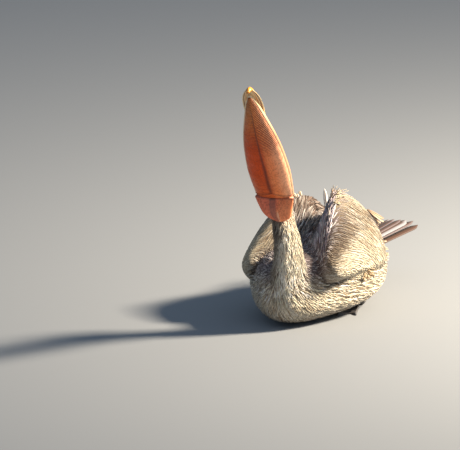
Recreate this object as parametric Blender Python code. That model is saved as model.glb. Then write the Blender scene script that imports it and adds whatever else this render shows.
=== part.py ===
"""A large white pelican afloat on its belly, life size, with its bill raised.

The bird faces -Y, +X is its own left and +Z is up.  Lengths are in metres.  The model
rests on the flat of its belly and on its folded feet, all at z = 0.

Shapes are described in the bird's own terms:
  x      distance to the bird's left of its middle plane
  back   distance behind the foremost point of the breast
  z      height above the surface that the bird rests on
and, for the head and bill, in the frame of the raised bill:
  f      distance from the corners of the jaw towards the tip of the bill
  s      distance to the bird's left
  t      distance towards the crown, so that the pouch hangs at negative t
"""

import math

import bmesh
import bpy
import numpy as np
from mathutils import Vector

# ---------------------------------------------------------------- driving dimensions

GAP = 0.0004                 # clearance between neighbouring solids

# Trunk: back, half width, height of the widest level, top, bottom.
TRUNK_SECTIONS = (
    (0.005, 0.004, 0.088, 0.094, 0.080),
    (0.012, 0.036, 0.088, 0.128, 0.046),
    (0.045, 0.068, 0.085, 0.160, 0.016),
    (0.100, 0.102, 0.082, 0.186, 0.000),
    (0.170, 0.133, 0.080, 0.190, -0.004),
    (0.250, 0.160, 0.082, 0.196, -0.006),
    (0.340, 0.166, 0.085, 0.216, -0.006),
    (0.430, 0.148, 0.090, 0.226, -0.002),
    (0.510, 0.112, 0.100, 0.196, 0.022),
    (0.580, 0.066, 0.110, 0.156, 0.058),
    (0.625, 0.030, 0.115, 0.134, 0.096),
    (0.636, 0.004, 0.117, 0.120, 0.114),
)
TRUNK_SQUARENESS, SHOULDER_SQUARENESS, SHOULDER_END = 2.15, 2.5, 0.30

# Folded left wing: back, inner x, outer x, ridge x, lowest, widest level, top.
WING_SECTIONS = (
    (0.083, 0.102, 0.116, 0.109, 0.146, 0.154, 0.164),
    (0.090, 0.088, 0.136, 0.106, 0.120, 0.150, 0.182),
    (0.122, 0.056, 0.151, 0.098, 0.104, 0.144, 0.208),
    (0.170, 0.022, 0.160, 0.084, 0.098, 0.138, 0.250),
    (0.235, 0.003, 0.170, 0.062, 0.096, 0.130, 0.294),
    (0.300, 0.002, 0.175, 0.046, 0.095, 0.122, 0.314),
    (0.370, 0.002, 0.166, 0.039, 0.097, 0.120, 0.295),
    (0.440, 0.002, 0.142, 0.035, 0.102, 0.122, 0.255),
    (0.510, 0.002, 0.105, 0.036, 0.112, 0.134, 0.215),
    (0.575, 0.002, 0.074, 0.032, 0.125, 0.145, 0.190),
    (0.630, 0.003, 0.046, 0.026, 0.138, 0.152, 0.172),
    (0.665, 0.010, 0.024, 0.017, 0.152, 0.156, 0.162),
)
WING_SQUARENESS = 1.72       # 2 is an ellipse, less is closer to a ridged roof
SCAPULAR_SQUARENESS = 1.45   # the same, down the slope to the middle of the back
RIGHT_WING_LIFT = 0.87       # height of the right hump over the left one
RIGHT_WING_TUCK = 0.965      # the right wing is held this much closer to the body
RIGHT_WING_SHIFT = 0.020     # the right wing is held this much further back
RIGHT_WING_DROP = 0.017      # its wrist hangs this much lower
SCAPULAR_PLANE = ((0.090, 0.237, 0.2785), (-0.941, -0.252, 0.223))
FLIGHT_PLANE = ((0.100, 0.470, 0.130), (0.050, 0.930, 0.360))

# Neck: x, back, z, half width, half depth, pitch of the section in degrees.
NECK_SECTIONS = (
    (0.006, 0.088, 0.070, 0.044, 0.060, 0.0),
    (0.009, 0.073, 0.110, 0.049, 0.072, 0.0),
    (0.016, 0.058, 0.155, 0.040, 0.058, 0.0),
    (0.018, 0.048, 0.200, 0.037, 0.048, 0.0),
    (0.014, 0.043, 0.245, 0.033, 0.042, 0.0),
    (0.004, 0.043, 0.285, 0.029, 0.038, 4.0),
    (-0.001, 0.049, 0.320, 0.028, 0.034, 14.0),
    (-0.004, 0.053, 0.346, 0.018, 0.020, 25.0),
)
NECK_PARTING = 0.205         # height of the cut between the two lengths of neck

# The raised bill.
JAW = (0.0015, -0.010, 0.348)     # middle of the crease between the jaw corners
BILL_RISE = math.radians(49.6)   # slope of the bill over level
BILL_TURN = math.radians(6.8)    # turn of the head towards the bird's left

# Head: f, half width, middle t, half height.
HEAD_SECTIONS = (
    (-0.078, 0.004, 0.052, 0.006),
    (-0.070, 0.020, 0.050, 0.022),
    (-0.050, 0.031, 0.046, 0.036),
    (-0.020, 0.036, 0.043, 0.039),
    (0.015, 0.036, 0.041, 0.037),
    (0.045, 0.031, 0.037, 0.029),
    (0.068, 0.023, 0.034, 0.020),
    (0.082, 0.011, 0.031, 0.010),
    (0.086, 0.002, 0.030, 0.003),
)
EYE_PLACE = (0.034, 0.0275, 0.052)
EYE_RADIUS = 0.0085

# Upper mandible: f, half width, height of the culmen over the cutting edge.
UPPER_BILL_SECTIONS = (
    (0.020, 0.024, 0.030),
    (0.070, 0.0225, 0.030),
    (0.120, 0.0205, 0.024),
    (0.190, 0.0190, 0.018),
    (0.258, 0.0200, 0.014),
    (0.305, 0.0238, 0.012),
    (0.340, 0.0262, 0.011),
    (0.375, 0.0245, 0.010),
    (0.399, 0.0185, 0.009),
    (0.416, 0.0090, 0.007),
)
CUTTING_EDGE = (0.0200, 0.0110)  # t of the cutting edge at the jaw and at the tip
BILL_LENGTH = 0.424              # jaw corner to the tip of the nail
NAIL_START = 0.386               # where the nail leaves the culmen
NAIL_TOP = 0.0190                # its height t there
NAIL_HOOK = 0.0240               # how far its point hooks down

# Lower mandible and pouch: f, half width.
LOWER_BILL_SECTIONS = (
    (0.000, 0.0490),
    (0.050, 0.0525),
    (0.090, 0.0545),
    (0.150, 0.0525),
    (0.195, 0.0490),
    (0.240, 0.0430),
    (0.295, 0.0325),
    (0.335, 0.0240),
    (0.375, 0.0150),
    (0.402, 0.0060),
)
RAMUS_HEIGHT = 0.0085            # height of the lower mandible at its rim
POUCH_LENGTH = 0.390             # jaw crease to the end of the pouch at the chin
POUCH_SAG = 0.0205               # deepest hang of the pouch under its rim
CREASE_SAG = 0.004               # hang of the skin at the jaw crease

# Skin of the throat, from the crease down: x, back, z, half width, sag, pitch.
THROAT_SECTIONS = (
    (0.0015, -0.0090, 0.3465, 0.0490, 0.005, 50.0),
    (0.0040, -0.0050, 0.3260, 0.0435, 0.011, 72.0),
    (0.0070, -0.0010, 0.3050, 0.0360, 0.012, 84.0),
    (0.0105, 0.0030, 0.2920, 0.0260, 0.010, 90.0),
    (0.0125, 0.0070, 0.2835, 0.0090, 0.007, 90.0),
)

THROAT_DEPTH = 0.022             # how far back its solid reaches, towards the neck

# Tail.
TAIL_ROOT = (0.0, 0.575, 0.109)
TAIL_LENGTH = 0.247
TAIL_RISE = math.radians(6.0)
TAIL_TURN = math.radians(7.5)    # the whole fan is turned this much to the bird's left
TAIL_SPLAY = math.radians(8.5)   # turn of the outermost feather from the middle one
TAIL_ROOT_HALF_WIDTH = 0.028
TAIL_FEATHERS = 9
TAIL_THICKNESS = 0.016

# Legs and feet, folded under the flanks (left side; the right mirrors it).
HEEL = (0.082, 0.475, 0.012)
TOE_ROOT = (0.094, 0.372, 0.010)
SHANK_RADIUS = 0.0085
TOES = (                          # turn towards the middle plane, reach
    (math.radians(-16.0), 0.112),
    (math.radians(6.0), 0.128),
    (math.radians(30.0), 0.100),
    (math.radians(72.0), 0.055),
)
WEB_DIP = 0.82                    # reach of the web between two toes
TOE_HEIGHT = 0.010
WEB_HEIGHT = 0.0045

AROUND = 22                       # points round a trunk or wing section

# ------------------------------------------------------------------- small helpers


def curve_through(rows, count):
    """Smooth curve through the rows, read at evenly spaced steps along them."""
    rows = np.asarray(rows, float)
    at = np.linspace(0.0, len(rows) - 1.0, count)
    slopes = np.gradient(rows, axis=0)
    first = np.minimum(at.astype(int), len(rows) - 2)
    u = (at - first)[:, None]
    start, end = rows[first], rows[first + 1]
    leave, arrive = slopes[first], slopes[first + 1]
    return (start * (1 + 2 * u) * (1 - u) ** 2 + leave * u * (1 - u) ** 2
            + end * u ** 2 * (3 - 2 * u) + arrive * u ** 2 * (u - 1))


def curve_at(rows, f):
    """Value of a two-column table (place, value) at f, smoothly."""
    rows = np.asarray(rows, float)
    slopes = np.gradient(rows[:, 1], rows[:, 0])
    first = np.clip(np.searchsorted(rows[:, 0], f, side="right") - 1, 0, len(rows) - 2)
    step = rows[first + 1, 0] - rows[first, 0]
    u = np.clip((f - rows[first, 0]) / step, 0.0, 1.0)
    return (rows[first, 1] * (1 + 2 * u) * (1 - u) ** 2
            + slopes[first] * step * u * (1 - u) ** 2
            + rows[first + 1, 1] * u ** 2 * (3 - 2 * u)
            + slopes[first + 1] * step * u ** 2 * (u - 1))


def power_circle(count, squareness=2.0):
    """Cosine and sine round a circle, pushed towards a square as squareness grows."""
    angle = np.arange(count) * 2 * math.pi / count
    cos, sin = np.cos(angle), np.sin(angle)
    power = 2.0 / squareness
    return np.sign(cos) * np.abs(cos) ** power, np.sign(sin) * np.abs(sin) ** power


def material(name, colour, roughness):
    """Principled material with one colour."""
    made = bpy.data.materials.new(name)
    made.use_nodes = True
    shader = made.node_tree.nodes["Principled BSDF"]
    shader.inputs["Base Color"].default_value = (*colour, 1.0)
    shader.inputs["Roughness"].default_value = roughness
    shader.inputs["Metallic"].default_value = 0.0
    return made


def joined_rings(rings):
    """Open bmesh over a stack of rings, with the rows of its vertices."""
    mesh = bmesh.new()
    rows = [[mesh.verts.new(point) for point in ring] for ring in rings]
    for lower, upper in zip(rows, rows[1:]):
        for i in range(len(lower)):
            j = (i + 1) % len(lower)
            mesh.faces.new((lower[i], lower[j], upper[j], upper[i]))
    return mesh, rows


def finished(mesh):
    """The mesh with its faces pointing out and split once into triangles."""
    bmesh.ops.recalc_face_normals(mesh, faces=mesh.faces)
    bmesh.ops.triangulate(mesh, faces=mesh.faces, quad_method="SHORT_EDGE")
    return mesh


def skin_over(rings):
    """Closed bmesh over a stack of rings, shut by a point at each end."""
    rings = np.asarray(rings, float)
    mesh, rows = joined_rings(rings)
    for row, points in ((rows[0], rings[0]), (rows[-1], rings[-1])):
        pole = mesh.verts.new(points.mean(axis=0))
        for i in range(len(row)):
            mesh.faces.new((row[i], row[(i + 1) % len(row)], pole))
    return finished(mesh)


def slab_between(upper, lower):
    """Closed bmesh between two grids of points that lie one over the other."""
    mesh, rows = joined_rings(np.concatenate((upper, lower[:, ::-1]), axis=1))
    for row in (rows[0], rows[-1]):
        for i in range(len(row) // 2 - 1):
            mesh.faces.new((row[i], row[i + 1], row[-2 - i], row[-1 - i]))
    return finished(mesh)


def keep_side(mesh, point, normal, gap=GAP / 2):
    """Copy of a closed bmesh, cut by a plane: the side that the normal points to."""
    kept = mesh.copy()
    normal = Vector(normal).normalized()
    place = Vector(point) + normal * gap
    bmesh.ops.bisect_plane(kept, geom=kept.verts[:] + kept.edges[:] + kept.faces[:],
                           plane_co=place, plane_no=normal, dist=1e-7,
                           clear_inner=True)
    rim = [edge for edge in kept.edges if edge.is_boundary]
    bmesh.ops.holes_fill(kept, edges=rim, sides=0)
    return finished(kept)


def piece(name, mesh, colour, roughness, sharp_degrees=35.0):
    """Object made from a bmesh, shaded smooth over its gentle edges."""
    data = bpy.data.meshes.new(name)
    mesh.to_mesh(data)
    data.shade_smooth()
    data.set_sharp_from_angle(angle=math.radians(sharp_degrees))
    data.materials.append(material(name, colour, roughness))
    made = bpy.data.objects.new(name, data)
    bpy.context.collection.objects.link(made)
    return made


def cutter(name, mesh, swell=GAP):
    """Hidden copy of a shape, swollen by the clearance, for cutting its neighbours."""
    swollen = mesh.copy()
    swollen.normal_update()
    moved = [vert.co + vert.normal * swell * vert.calc_shell_factor()
             for vert in swollen.verts]
    for vert, place in zip(swollen.verts, moved):
        vert.co = place
    data = bpy.data.meshes.new(name)
    swollen.to_mesh(data)
    made = bpy.data.objects.new(name, data)
    bpy.context.collection.objects.link(made)
    made.hide_render = True
    made.display_type = "WIRE"
    return made


def cut(target, *cutters):
    """Take the cutters' shapes away from a piece."""
    for tool in cutters:
        step = target.modifiers.new(f"clear of {tool.name}", "BOOLEAN")
        step.operation = "DIFFERENCE"
        step.solver = "EXACT"
        step.object = tool


# ------------------------------------------------------------------ frame of the bill

BILL_LEVEL = np.array((math.sin(BILL_TURN), -math.cos(BILL_TURN), 0.0))
BILL_FORWARD = BILL_LEVEL * math.cos(BILL_RISE) + np.array((0, 0, math.sin(BILL_RISE)))
BILL_LEFT = np.array((math.cos(BILL_TURN), math.sin(BILL_TURN), 0.0))
BILL_CROWNWARD = np.cross(BILL_LEFT, BILL_FORWARD) * -1.0


def in_bill_frame(f, s, t):
    """World places of points given along, across and above the bill."""
    f, s, t = np.broadcast_arrays(f, s, t)
    return (np.array(JAW) + f[..., None] * BILL_FORWARD + s[..., None] * BILL_LEFT
            + t[..., None] * BILL_CROWNWARD)


def cutting_edge(f):
    """Height t of the line where the two mandibles meet."""
    return CUTTING_EDGE[0] + (CUTTING_EDGE[1] - CUTTING_EDGE[0]) * f / BILL_LENGTH


# ------------------------------------------------------------------------ the pieces


def trunk_shape():
    """Boat-shaped body with a flat cut under the belly."""
    rows = curve_through(TRUNK_SECTIONS, 19)
    back, half, level, top, bottom = rows.T[:, :, None]
    cos, sin = power_circle(AROUND, TRUNK_SQUARENESS)
    shoulder = np.clip((SHOULDER_END - back) / 0.15, 0, 1)
    fullness = TRUNK_SQUARENESS + (SHOULDER_SQUARENESS - TRUNK_SQUARENESS) * shoulder
    upper_cos, upper_sin = power_circle(AROUND, fullness)
    cos, sin = np.where(sin > 0, upper_cos, cos), np.where(sin > 0, upper_sin, sin)
    z = level + np.where(sin > 0, (top - level) * sin, (level - bottom) * sin)
    rings = np.stack((half * cos, back + 0 * cos, z), axis=-1)
    return keep_side(skin_over(rings), (0, 0, 0), (0, 0, 1), gap=0.0)


def wing_shape(side):
    """Dome of a folded wing; side is 1 for the left and -1 for the right."""
    rows = curve_through(WING_SECTIONS, 19)
    back, inner, outer, ridge, low, level, top = rows.T[:, :, None]
    if side < 0:
        back = back + RIGHT_WING_SHIFT * (outer / outer.max())
        top = level + (top - level) * RIGHT_WING_LIFT
        outer = outer * RIGHT_WING_TUCK
        drop = RIGHT_WING_DROP * np.clip((0.34 - back) / 0.16, 0, 1)
        low, level, top = low - drop, level - 0.6 * drop, top - 0.35 * drop
    cos, sin = power_circle(AROUND, WING_SQUARENESS)
    slope_cos, slope_sin = power_circle(AROUND, SCAPULAR_SQUARENESS)
    inner_top = (cos < 0) & (sin > 0)
    cos, sin = np.where(inner_top, slope_cos, cos), np.where(inner_top, slope_sin, sin)
    x = ridge + np.where(cos > 0, (outer - ridge) * cos, (ridge - inner) * cos)
    z = level + np.where(sin > 0, (top - level) * sin, (level - low) * sin)
    return skin_over(np.stack((side * x, back + 0 * cos, z), axis=-1))


def neck_shape():
    """Neck from inside the breast to inside the head."""
    rows = curve_through(NECK_SECTIONS, 15)
    x, back, z, half_width, half_depth, pitch = rows.T[:, :, None]
    cos, sin = power_circle(16)
    lean = np.radians(pitch)
    rings = np.stack((x + half_width * cos,
                      back + half_depth * sin * np.cos(lean),
                      z + half_depth * sin * np.sin(lean)), axis=-1)
    return skin_over(rings)


def head_shape():
    """Feathered head, from the shaggy nape to the forehead's point on the bill."""
    f, half_width, middle, half_height = curve_through(HEAD_SECTIONS, 13).T[:, :, None]
    cos, sin = power_circle(16, 2.1)
    return skin_over(in_bill_frame(f, half_width * cos, middle + half_height * sin))


def upper_bill_shape():
    """Long flat upper mandible with a ridged culmen and a spoon before its tip."""
    f, half_width, height = curve_through(UPPER_BILL_SECTIONS, 14).T[:, :, None]
    cos, sin = power_circle(12)
    ridge = np.where(sin > 0, height * (0.55 * sin + 0.45 * sin ** 5), 0.002 * sin)
    return skin_over(in_bill_frame(f, half_width * cos, cutting_edge(f) + ridge))


def nail_shape():
    """Hooked nail that caps the upper mandible and bends over the lower one."""
    u = np.linspace(0.0, 1.0, 8)[:, None]
    f = NAIL_START + (BILL_LENGTH - NAIL_START) * np.sin(u * math.pi / 2)
    t = NAIL_TOP - NAIL_HOOK * u ** 2.4
    thick = 0.0034 + 0.0026 * np.sin(u * math.pi)
    half_width = 0.0085 * np.sqrt(1.0 - 0.85 * u ** 2)
    lean = np.radians(85.0) * u ** 2
    cos, sin = power_circle(12)
    return skin_over(in_bill_frame(f + thick * sin * np.sin(lean), half_width * cos,
                                   t + thick * sin * np.cos(lean)))


def lower_bill_shape():
    """The bowed lower mandible, as one plate between its rims."""
    f = np.linspace(0.0, 1.0, 14)[:, None] ** 0.8 * LOWER_BILL_SECTIONS[-1][0]
    half_width = curve_at(LOWER_BILL_SECTIONS, f)
    cos, sin = power_circle(12, 3.0)
    middle = cutting_edge(f) - 0.0025 - GAP - RAMUS_HEIGHT / 2
    return skin_over(in_bill_frame(f, half_width * cos,
                                   middle + RAMUS_HEIGHT / 2 * sin))


def pouch_shape():
    """Skin of the pouch, hung between the rims of the lower mandible."""
    f = np.linspace(0.0, 1.0, 14)[:, None] ** 0.85 * POUCH_LENGTH
    half_width = curve_at(LOWER_BILL_SECTIONS, f) - 0.0004
    sag = CREASE_SAG + (POUCH_SAG - CREASE_SAG) * np.sin(
        np.clip(f / 0.09, 0, 1) * math.pi / 2)
    sag = sag * np.clip((1.05 * POUCH_LENGTH - f) / 0.23, 0, 1) ** 0.8
    rim = cutting_edge(f) - 0.0025 - RAMUS_HEIGHT - 3 * GAP
    cos, sin = power_circle(18, 2.1)
    hang = np.where(sin > 0, 0.0005 * sin, (rim + sag) * sin)
    return skin_over(in_bill_frame(f, half_width * cos, rim + hang))


def throat_shape():
    """Bare skin of the throat, from the jaw crease to its point on the neck."""
    rows = curve_through(THROAT_SECTIONS, 8)
    x, back, z, half_width, sag, pitch = rows.T[:, :, None]
    down, forward = np.cos(np.radians(pitch)), np.sin(np.radians(pitch))
    cos, sin = power_circle(16, 2.1)
    out = np.where(sin > 0, sag * sin, THROAT_DEPTH * sin)
    return skin_over(np.stack((x + half_width * cos * BILL_LEFT[0],
                               back + half_width * cos * BILL_LEFT[1] - out * forward,
                               z - out * down), axis=-1))


def tail_shape():
    """Fan of tail feathers: a low ridge along each and a rounded tip to each."""
    across = np.linspace(-1.0, 1.0, TAIL_FEATHERS * 4 + 1)
    along = np.linspace(0.0, 1.0, 3)[:, None]
    wave = np.abs(np.cos(across * TAIL_FEATHERS * math.pi / 2))
    reach = TAIL_LENGTH * (1.0 - 0.08 * across ** 2) * (0.93 + 0.07 * wave)
    turn = TAIL_TURN + TAIL_SPLAY * across
    flat = reach * along
    x = TAIL_ROOT_HALF_WIDTH * across + flat * np.sin(turn)
    run = flat * np.cos(turn)
    thickness = TAIL_THICKNESS * (1 - along) ** 0.7 + 0.0024
    thickness = thickness * (0.80 + 0.20 * wave) * (1.0 - 0.55 * np.abs(across) ** 3)
    arch = -0.010 * across ** 2
    rise, level = math.sin(TAIL_RISE), math.cos(TAIL_RISE)
    faces = [np.stack((TAIL_ROOT[0] + x,
                       TAIL_ROOT[1] + run * level - up * rise,
                       TAIL_ROOT[2] + run * rise + up * level), axis=-1)
             for up in (arch + thickness / 2, arch - thickness / 2)]
    return slab_between(*faces)


def shank_shape(side):
    """Shank of a folded leg, lying from the heel forward to the toes."""
    heel, root = np.array(HEEL), np.array(TOE_ROOT)
    u = np.linspace(0.0, 1.0, 6)[:, None]
    centre = heel + (root - heel) * u
    knob = SHANK_RADIUS * (1.0 + 0.25 * np.cos(u * 2 * math.pi))
    knob = knob * np.array((0.55, 1, 1, 1, 1, 0.8))[:, None]
    cos, sin = power_circle(12)
    rings = np.stack((side * (centre[:, :1] + knob * cos), centre[:, 1:2] + 0 * cos,
                      centre[:, 2:] + knob * sin), axis=-1)
    return keep_side(skin_over(rings), (0, 0, 0.0), (0, 0, 1), gap=0.0)


def foot_shape(side):
    """Webbed foot laid flat, toes forward, with a low ridge along each toe."""
    turns = np.array([turn for turn, _ in TOES])
    reaches = np.array([reach for _, reach in TOES])
    steps = 5
    place = np.linspace(0, len(TOES) - 1, (len(TOES) - 1) * steps + 1)
    angle = np.interp(place, range(len(TOES)), turns)
    on_toe = np.abs(np.cos(place * math.pi))
    reach = np.interp(place, range(len(TOES)), reaches)
    reach = reach * (WEB_DIP + (1 - WEB_DIP) * on_toe ** 2)
    grow = np.linspace(0.05, 1.0, 5)[:, None]
    x = TOE_ROOT[0] - reach * grow * np.sin(angle)
    back = TOE_ROOT[1] - 0.011 - reach * grow * np.cos(angle)
    height = WEB_HEIGHT + (TOE_HEIGHT - WEB_HEIGHT) * on_toe ** 4 * (1 - 0.45 * grow)
    top = np.stack((side * x, back, height), axis=-1)
    bottom = np.stack((side * x, back, 0 * height), axis=-1)
    return slab_between(top, bottom)


def ball_shape(centre, radius):
    """Sphere for an eye."""
    mesh = bmesh.new()
    bmesh.ops.create_uvsphere(mesh, u_segments=12, v_segments=6, radius=radius)
    bmesh.ops.translate(mesh, verts=mesh.verts, vec=Vector(centre))
    return mesh


# ------------------------------------------------------------------------ assembly

PLUMAGE = (0.62, 0.56, 0.47)
PLUMAGE_DARK = (0.45, 0.40, 0.34)
NECK_COLOUR = (0.60, 0.53, 0.42)
POUCH_COLOUR = (0.80, 0.22, 0.09)
THROAT_COLOUR = (0.72, 0.17, 0.08)
BILL_COLOUR = (0.62, 0.50, 0.33)
NAIL_COLOUR = (0.90, 0.42, 0.06)
EYE_COLOUR = (0.55, 0.42, 0.16)
LEG_COLOUR = (0.24, 0.24, 0.25)


def mirrored(plane, side):
    """A left-hand parting plane, or its mirror image for the right."""
    (px, py, pz), (nx, ny, nz) = plane
    return (side * px, py, pz), (side * nx, ny, nz)


def build_wing(name, side, *cutters):
    """Coverts, scapulars and folded flight feathers of one wing."""
    whole = wing_shape(side)
    place, inward = mirrored(SCAPULAR_PLANE, side)
    outward = tuple(-part for part in inward)
    rear_place, rearward = mirrored(FLIGHT_PLANE, side)
    forward = tuple(-part for part in rearward)
    front = keep_side(whole, rear_place, forward)
    shapes = (
        (f"wing_{name}", keep_side(front, place, outward), PLUMAGE),
        (f"scapulars_{name}", keep_side(front, place, inward), PLUMAGE_DARK),
        (f"flight_feathers_{name}", keep_side(whole, rear_place, rearward), PLUMAGE),
    )
    for title, mesh, colour in shapes:
        cut(piece(title, mesh, colour, 0.85), *cutters)


def build_leg(name, side):
    """Shank and webbed foot of one leg; returns cutters for the belly over them."""
    shank, foot = shank_shape(side), foot_shape(side)
    foot_cutter = cutter(f"clear_foot_{name}", foot)
    cut(piece(f"leg_{name}", shank, LEG_COLOUR, 0.6), foot_cutter)
    piece(f"foot_{name}", foot, LEG_COLOUR, 0.6)
    return [foot_cutter, cutter(f"clear_leg_{name}", shank)]


def build_head(neck_cutter):
    """Head, eyes, bill, pouch and throat; returns the cutter round the head."""
    head = head_shape()
    head_cutter = cutter("clear_head", head)
    head_piece = piece("head", head, PLUMAGE, 0.85)
    for name, side in (("left", 1), ("right", -1)):
        f, s, t = EYE_PLACE
        eye = ball_shape(in_bill_frame(np.float64(f), side * s, t), EYE_RADIUS)
        piece(f"eye_{name}", eye, EYE_COLOUR, 0.1)
        cut(head_piece, cutter(f"clear_eye_{name}", eye))
    nail = nail_shape()
    nail_cutter = cutter("clear_nail", nail)
    piece("bill_nail", nail, NAIL_COLOUR, 0.35)
    upper = upper_bill_shape()
    upper_cutter = cutter("clear_bill_upper", upper)
    cut(piece("bill_upper", upper, BILL_COLOUR, 0.45), head_cutter, nail_cutter)
    cut(piece("bill_lower", lower_bill_shape(), BILL_COLOUR, 0.45),
        head_cutter, upper_cutter, nail_cutter)
    cut(piece("pouch", pouch_shape(), POUCH_COLOUR, 0.5), head_cutter, neck_cutter)
    throat = keep_side(throat_shape(), JAW - 2 * GAP * BILL_FORWARD, -BILL_FORWARD)
    cut(piece("throat", throat, THROAT_COLOUR, 0.5), head_cutter, neck_cutter)
    return head_cutter


def centre_on_origin():
    """Move the whole bird so that its box stands over the origin."""
    bpy.context.view_layer.update()
    corners = np.array([(made.matrix_world @ Vector(corner))[:]
                        for made in bpy.data.objects if not made.hide_render
                        for corner in made.bound_box])
    middle = (corners.min(axis=0) + corners.max(axis=0)) / 2
    for made in bpy.data.objects:
        made.location.x -= middle[0]
        made.location.y -= middle[1]


def build():
    """Build the whole bird in an empty scene."""
    for old in list(bpy.data.objects):
        bpy.data.objects.remove(old)

    trunk, neck = trunk_shape(), neck_shape()
    trunk_cutter, neck_cutter = cutter("clear_trunk", trunk), cutter("clear_neck", neck)
    trunk_piece = piece("trunk", trunk, PLUMAGE, 0.85)
    for name, side in (("left", 1), ("right", -1)):
        cut(trunk_piece, *build_leg(name, side))
        build_wing(name, side, trunk_cutter, neck_cutter)

    head_cutter = build_head(neck_cutter)
    parting = (0, 0, NECK_PARTING)
    cut(piece("neck_lower", keep_side(neck, parting, (0, 0, -1)), NECK_COLOUR, 0.85),
        trunk_cutter)
    cut(piece("neck_upper", keep_side(neck, parting, (0, 0, 1)), NECK_COLOUR, 0.85),
        head_cutter)

    cut(piece("tail", tail_shape(), PLUMAGE_DARK, 0.8), trunk_cutter)
    centre_on_origin()


build()
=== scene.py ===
# %% [markdown]
# # A pelican afloat, with its bill raised
#
# The bird is life-size: 1.1 metres from the tip of the raised bill to the tip of the tail.
# Its solids come ready packed from the CAD source, and this notebook dresses them: one skin
# under the feathers, some thirteen thousand feathers over it, a pouch with its cords and
# pleats, a horny bill, eyes with lids, webbed feet and a fan of tail feathers. Each step
# says what the piece is on the living bird, how it could be made, and why it is made this
# way.

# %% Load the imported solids
import math

import bmesh
import bpy
import numpy as np
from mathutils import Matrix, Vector
from mathutils.bvhtree import BVHTree
from mathutils.kdtree import KDTree


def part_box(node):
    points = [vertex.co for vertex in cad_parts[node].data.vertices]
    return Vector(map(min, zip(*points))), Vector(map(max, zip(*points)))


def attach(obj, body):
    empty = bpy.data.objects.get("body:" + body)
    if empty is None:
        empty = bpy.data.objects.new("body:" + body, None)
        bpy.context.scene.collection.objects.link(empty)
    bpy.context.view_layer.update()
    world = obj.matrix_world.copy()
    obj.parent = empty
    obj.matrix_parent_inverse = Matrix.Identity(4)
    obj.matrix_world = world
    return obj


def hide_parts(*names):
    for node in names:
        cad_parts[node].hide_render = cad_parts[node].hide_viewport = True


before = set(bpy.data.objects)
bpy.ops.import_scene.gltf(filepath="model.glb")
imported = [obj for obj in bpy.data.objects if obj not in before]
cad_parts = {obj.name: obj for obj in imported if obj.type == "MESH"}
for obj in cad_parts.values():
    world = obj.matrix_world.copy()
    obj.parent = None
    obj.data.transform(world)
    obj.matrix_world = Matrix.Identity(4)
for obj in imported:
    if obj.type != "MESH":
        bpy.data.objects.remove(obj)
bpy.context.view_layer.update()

# %% [markdown]
# ## The bird's own measure
# Every shape below is worked out in the bird's own measure: x to its left from the middle of
# the body, back from just before its breast, and z up from the flat of its belly. The trunk
# solid is the same left and right, so its box gives the middle and the place of the breast,
# and one shift carries everything into the frame of the solids.

# %% Place and direction
trunk_low, trunk_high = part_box("trunk")
BREAST_BACK = 0.005
ORIGIN = np.array(((trunk_low.x + trunk_high.x) / 2, trunk_low.y - BREAST_BACK, 0.0))


def unit(vectors):
    """Vectors scaled to length one, along the last axis."""
    vectors = np.asarray(vectors, float)
    size = np.linalg.norm(vectors, axis=-1, keepdims=True)
    return vectors / np.maximum(size, 1e-9)


def eased(value, low, high):
    """0 below low, 1 above high, and an S-curve 3u^2 - 2u^3 between them."""
    u = np.clip((np.asarray(value, float) - low) / (high - low), 0.0, 1.0)
    return u * u * (3 - 2 * u)


def bell(value, width):
    """1 at 0, falling off on both sides as exp of minus the square of value / width."""
    return np.exp(-(value / width) ** 2)


def hermite(start, end, leave, arrive, u):
    """Cubic from start to end, as u goes from 0 to 1, with the slopes leave and arrive."""
    return (start * (1 + 2 * u) * (1 - u) ** 2 + leave * u * (1 - u) ** 2
            + end * u ** 2 * (3 - 2 * u) + arrive * u ** 2 * (u - 1))


def curve_through(rows, count):
    """Smooth curve through the rows of a table, read at count even steps along them."""
    rows = np.asarray(rows, float)
    at = np.linspace(0.0, len(rows) - 1.0, count)
    slopes = np.gradient(rows, axis=0)
    first = np.minimum(at.astype(int), len(rows) - 2)
    return hermite(rows[first], rows[first + 1], slopes[first], slopes[first + 1],
                   (at - first)[:, None])


def curve_at(rows, f):
    """Value of a two-column table (place, value) at f, smoothly."""
    rows = np.asarray(rows, float)
    slopes = np.gradient(rows[:, 1], rows[:, 0])
    first = np.clip(np.searchsorted(rows[:, 0], f, side="right") - 1, 0, len(rows) - 2)
    step = rows[first + 1, 0] - rows[first, 0]
    u = np.clip((f - rows[first, 0]) / step, 0.0, 1.0)
    return hermite(rows[first, 1], rows[first + 1, 1], slopes[first] * step,
                   slopes[first + 1] * step, u)


print("breast at y =", round(ORIGIN[1], 4), "and the middle at x =", round(ORIGIN[0], 4))

# %% [markdown]
# ## Camera
# The bird is seen from its left front, a little from above, through a long lens, so lines
# that are parallel on the bird stay nearly parallel. The camera aims beside the breast, which
# puts the bird to the right of the middle.


# %% Camera
def put(name, data):
    """Adds an object that shows the given mesh, lamp or camera to the scene."""
    holder = bpy.data.objects.new(name, data)
    bpy.context.scene.collection.objects.link(holder)
    return holder


VIEW_TURN, VIEW_RISE = math.radians(20.5), math.radians(12.0)
VIEW_DISTANCE, VIEW_WIDTH, SENSOR_WIDTH = 36.0, 1.15, 36.0
AIM = np.array((-0.115, -0.012, 0.268))

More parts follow.
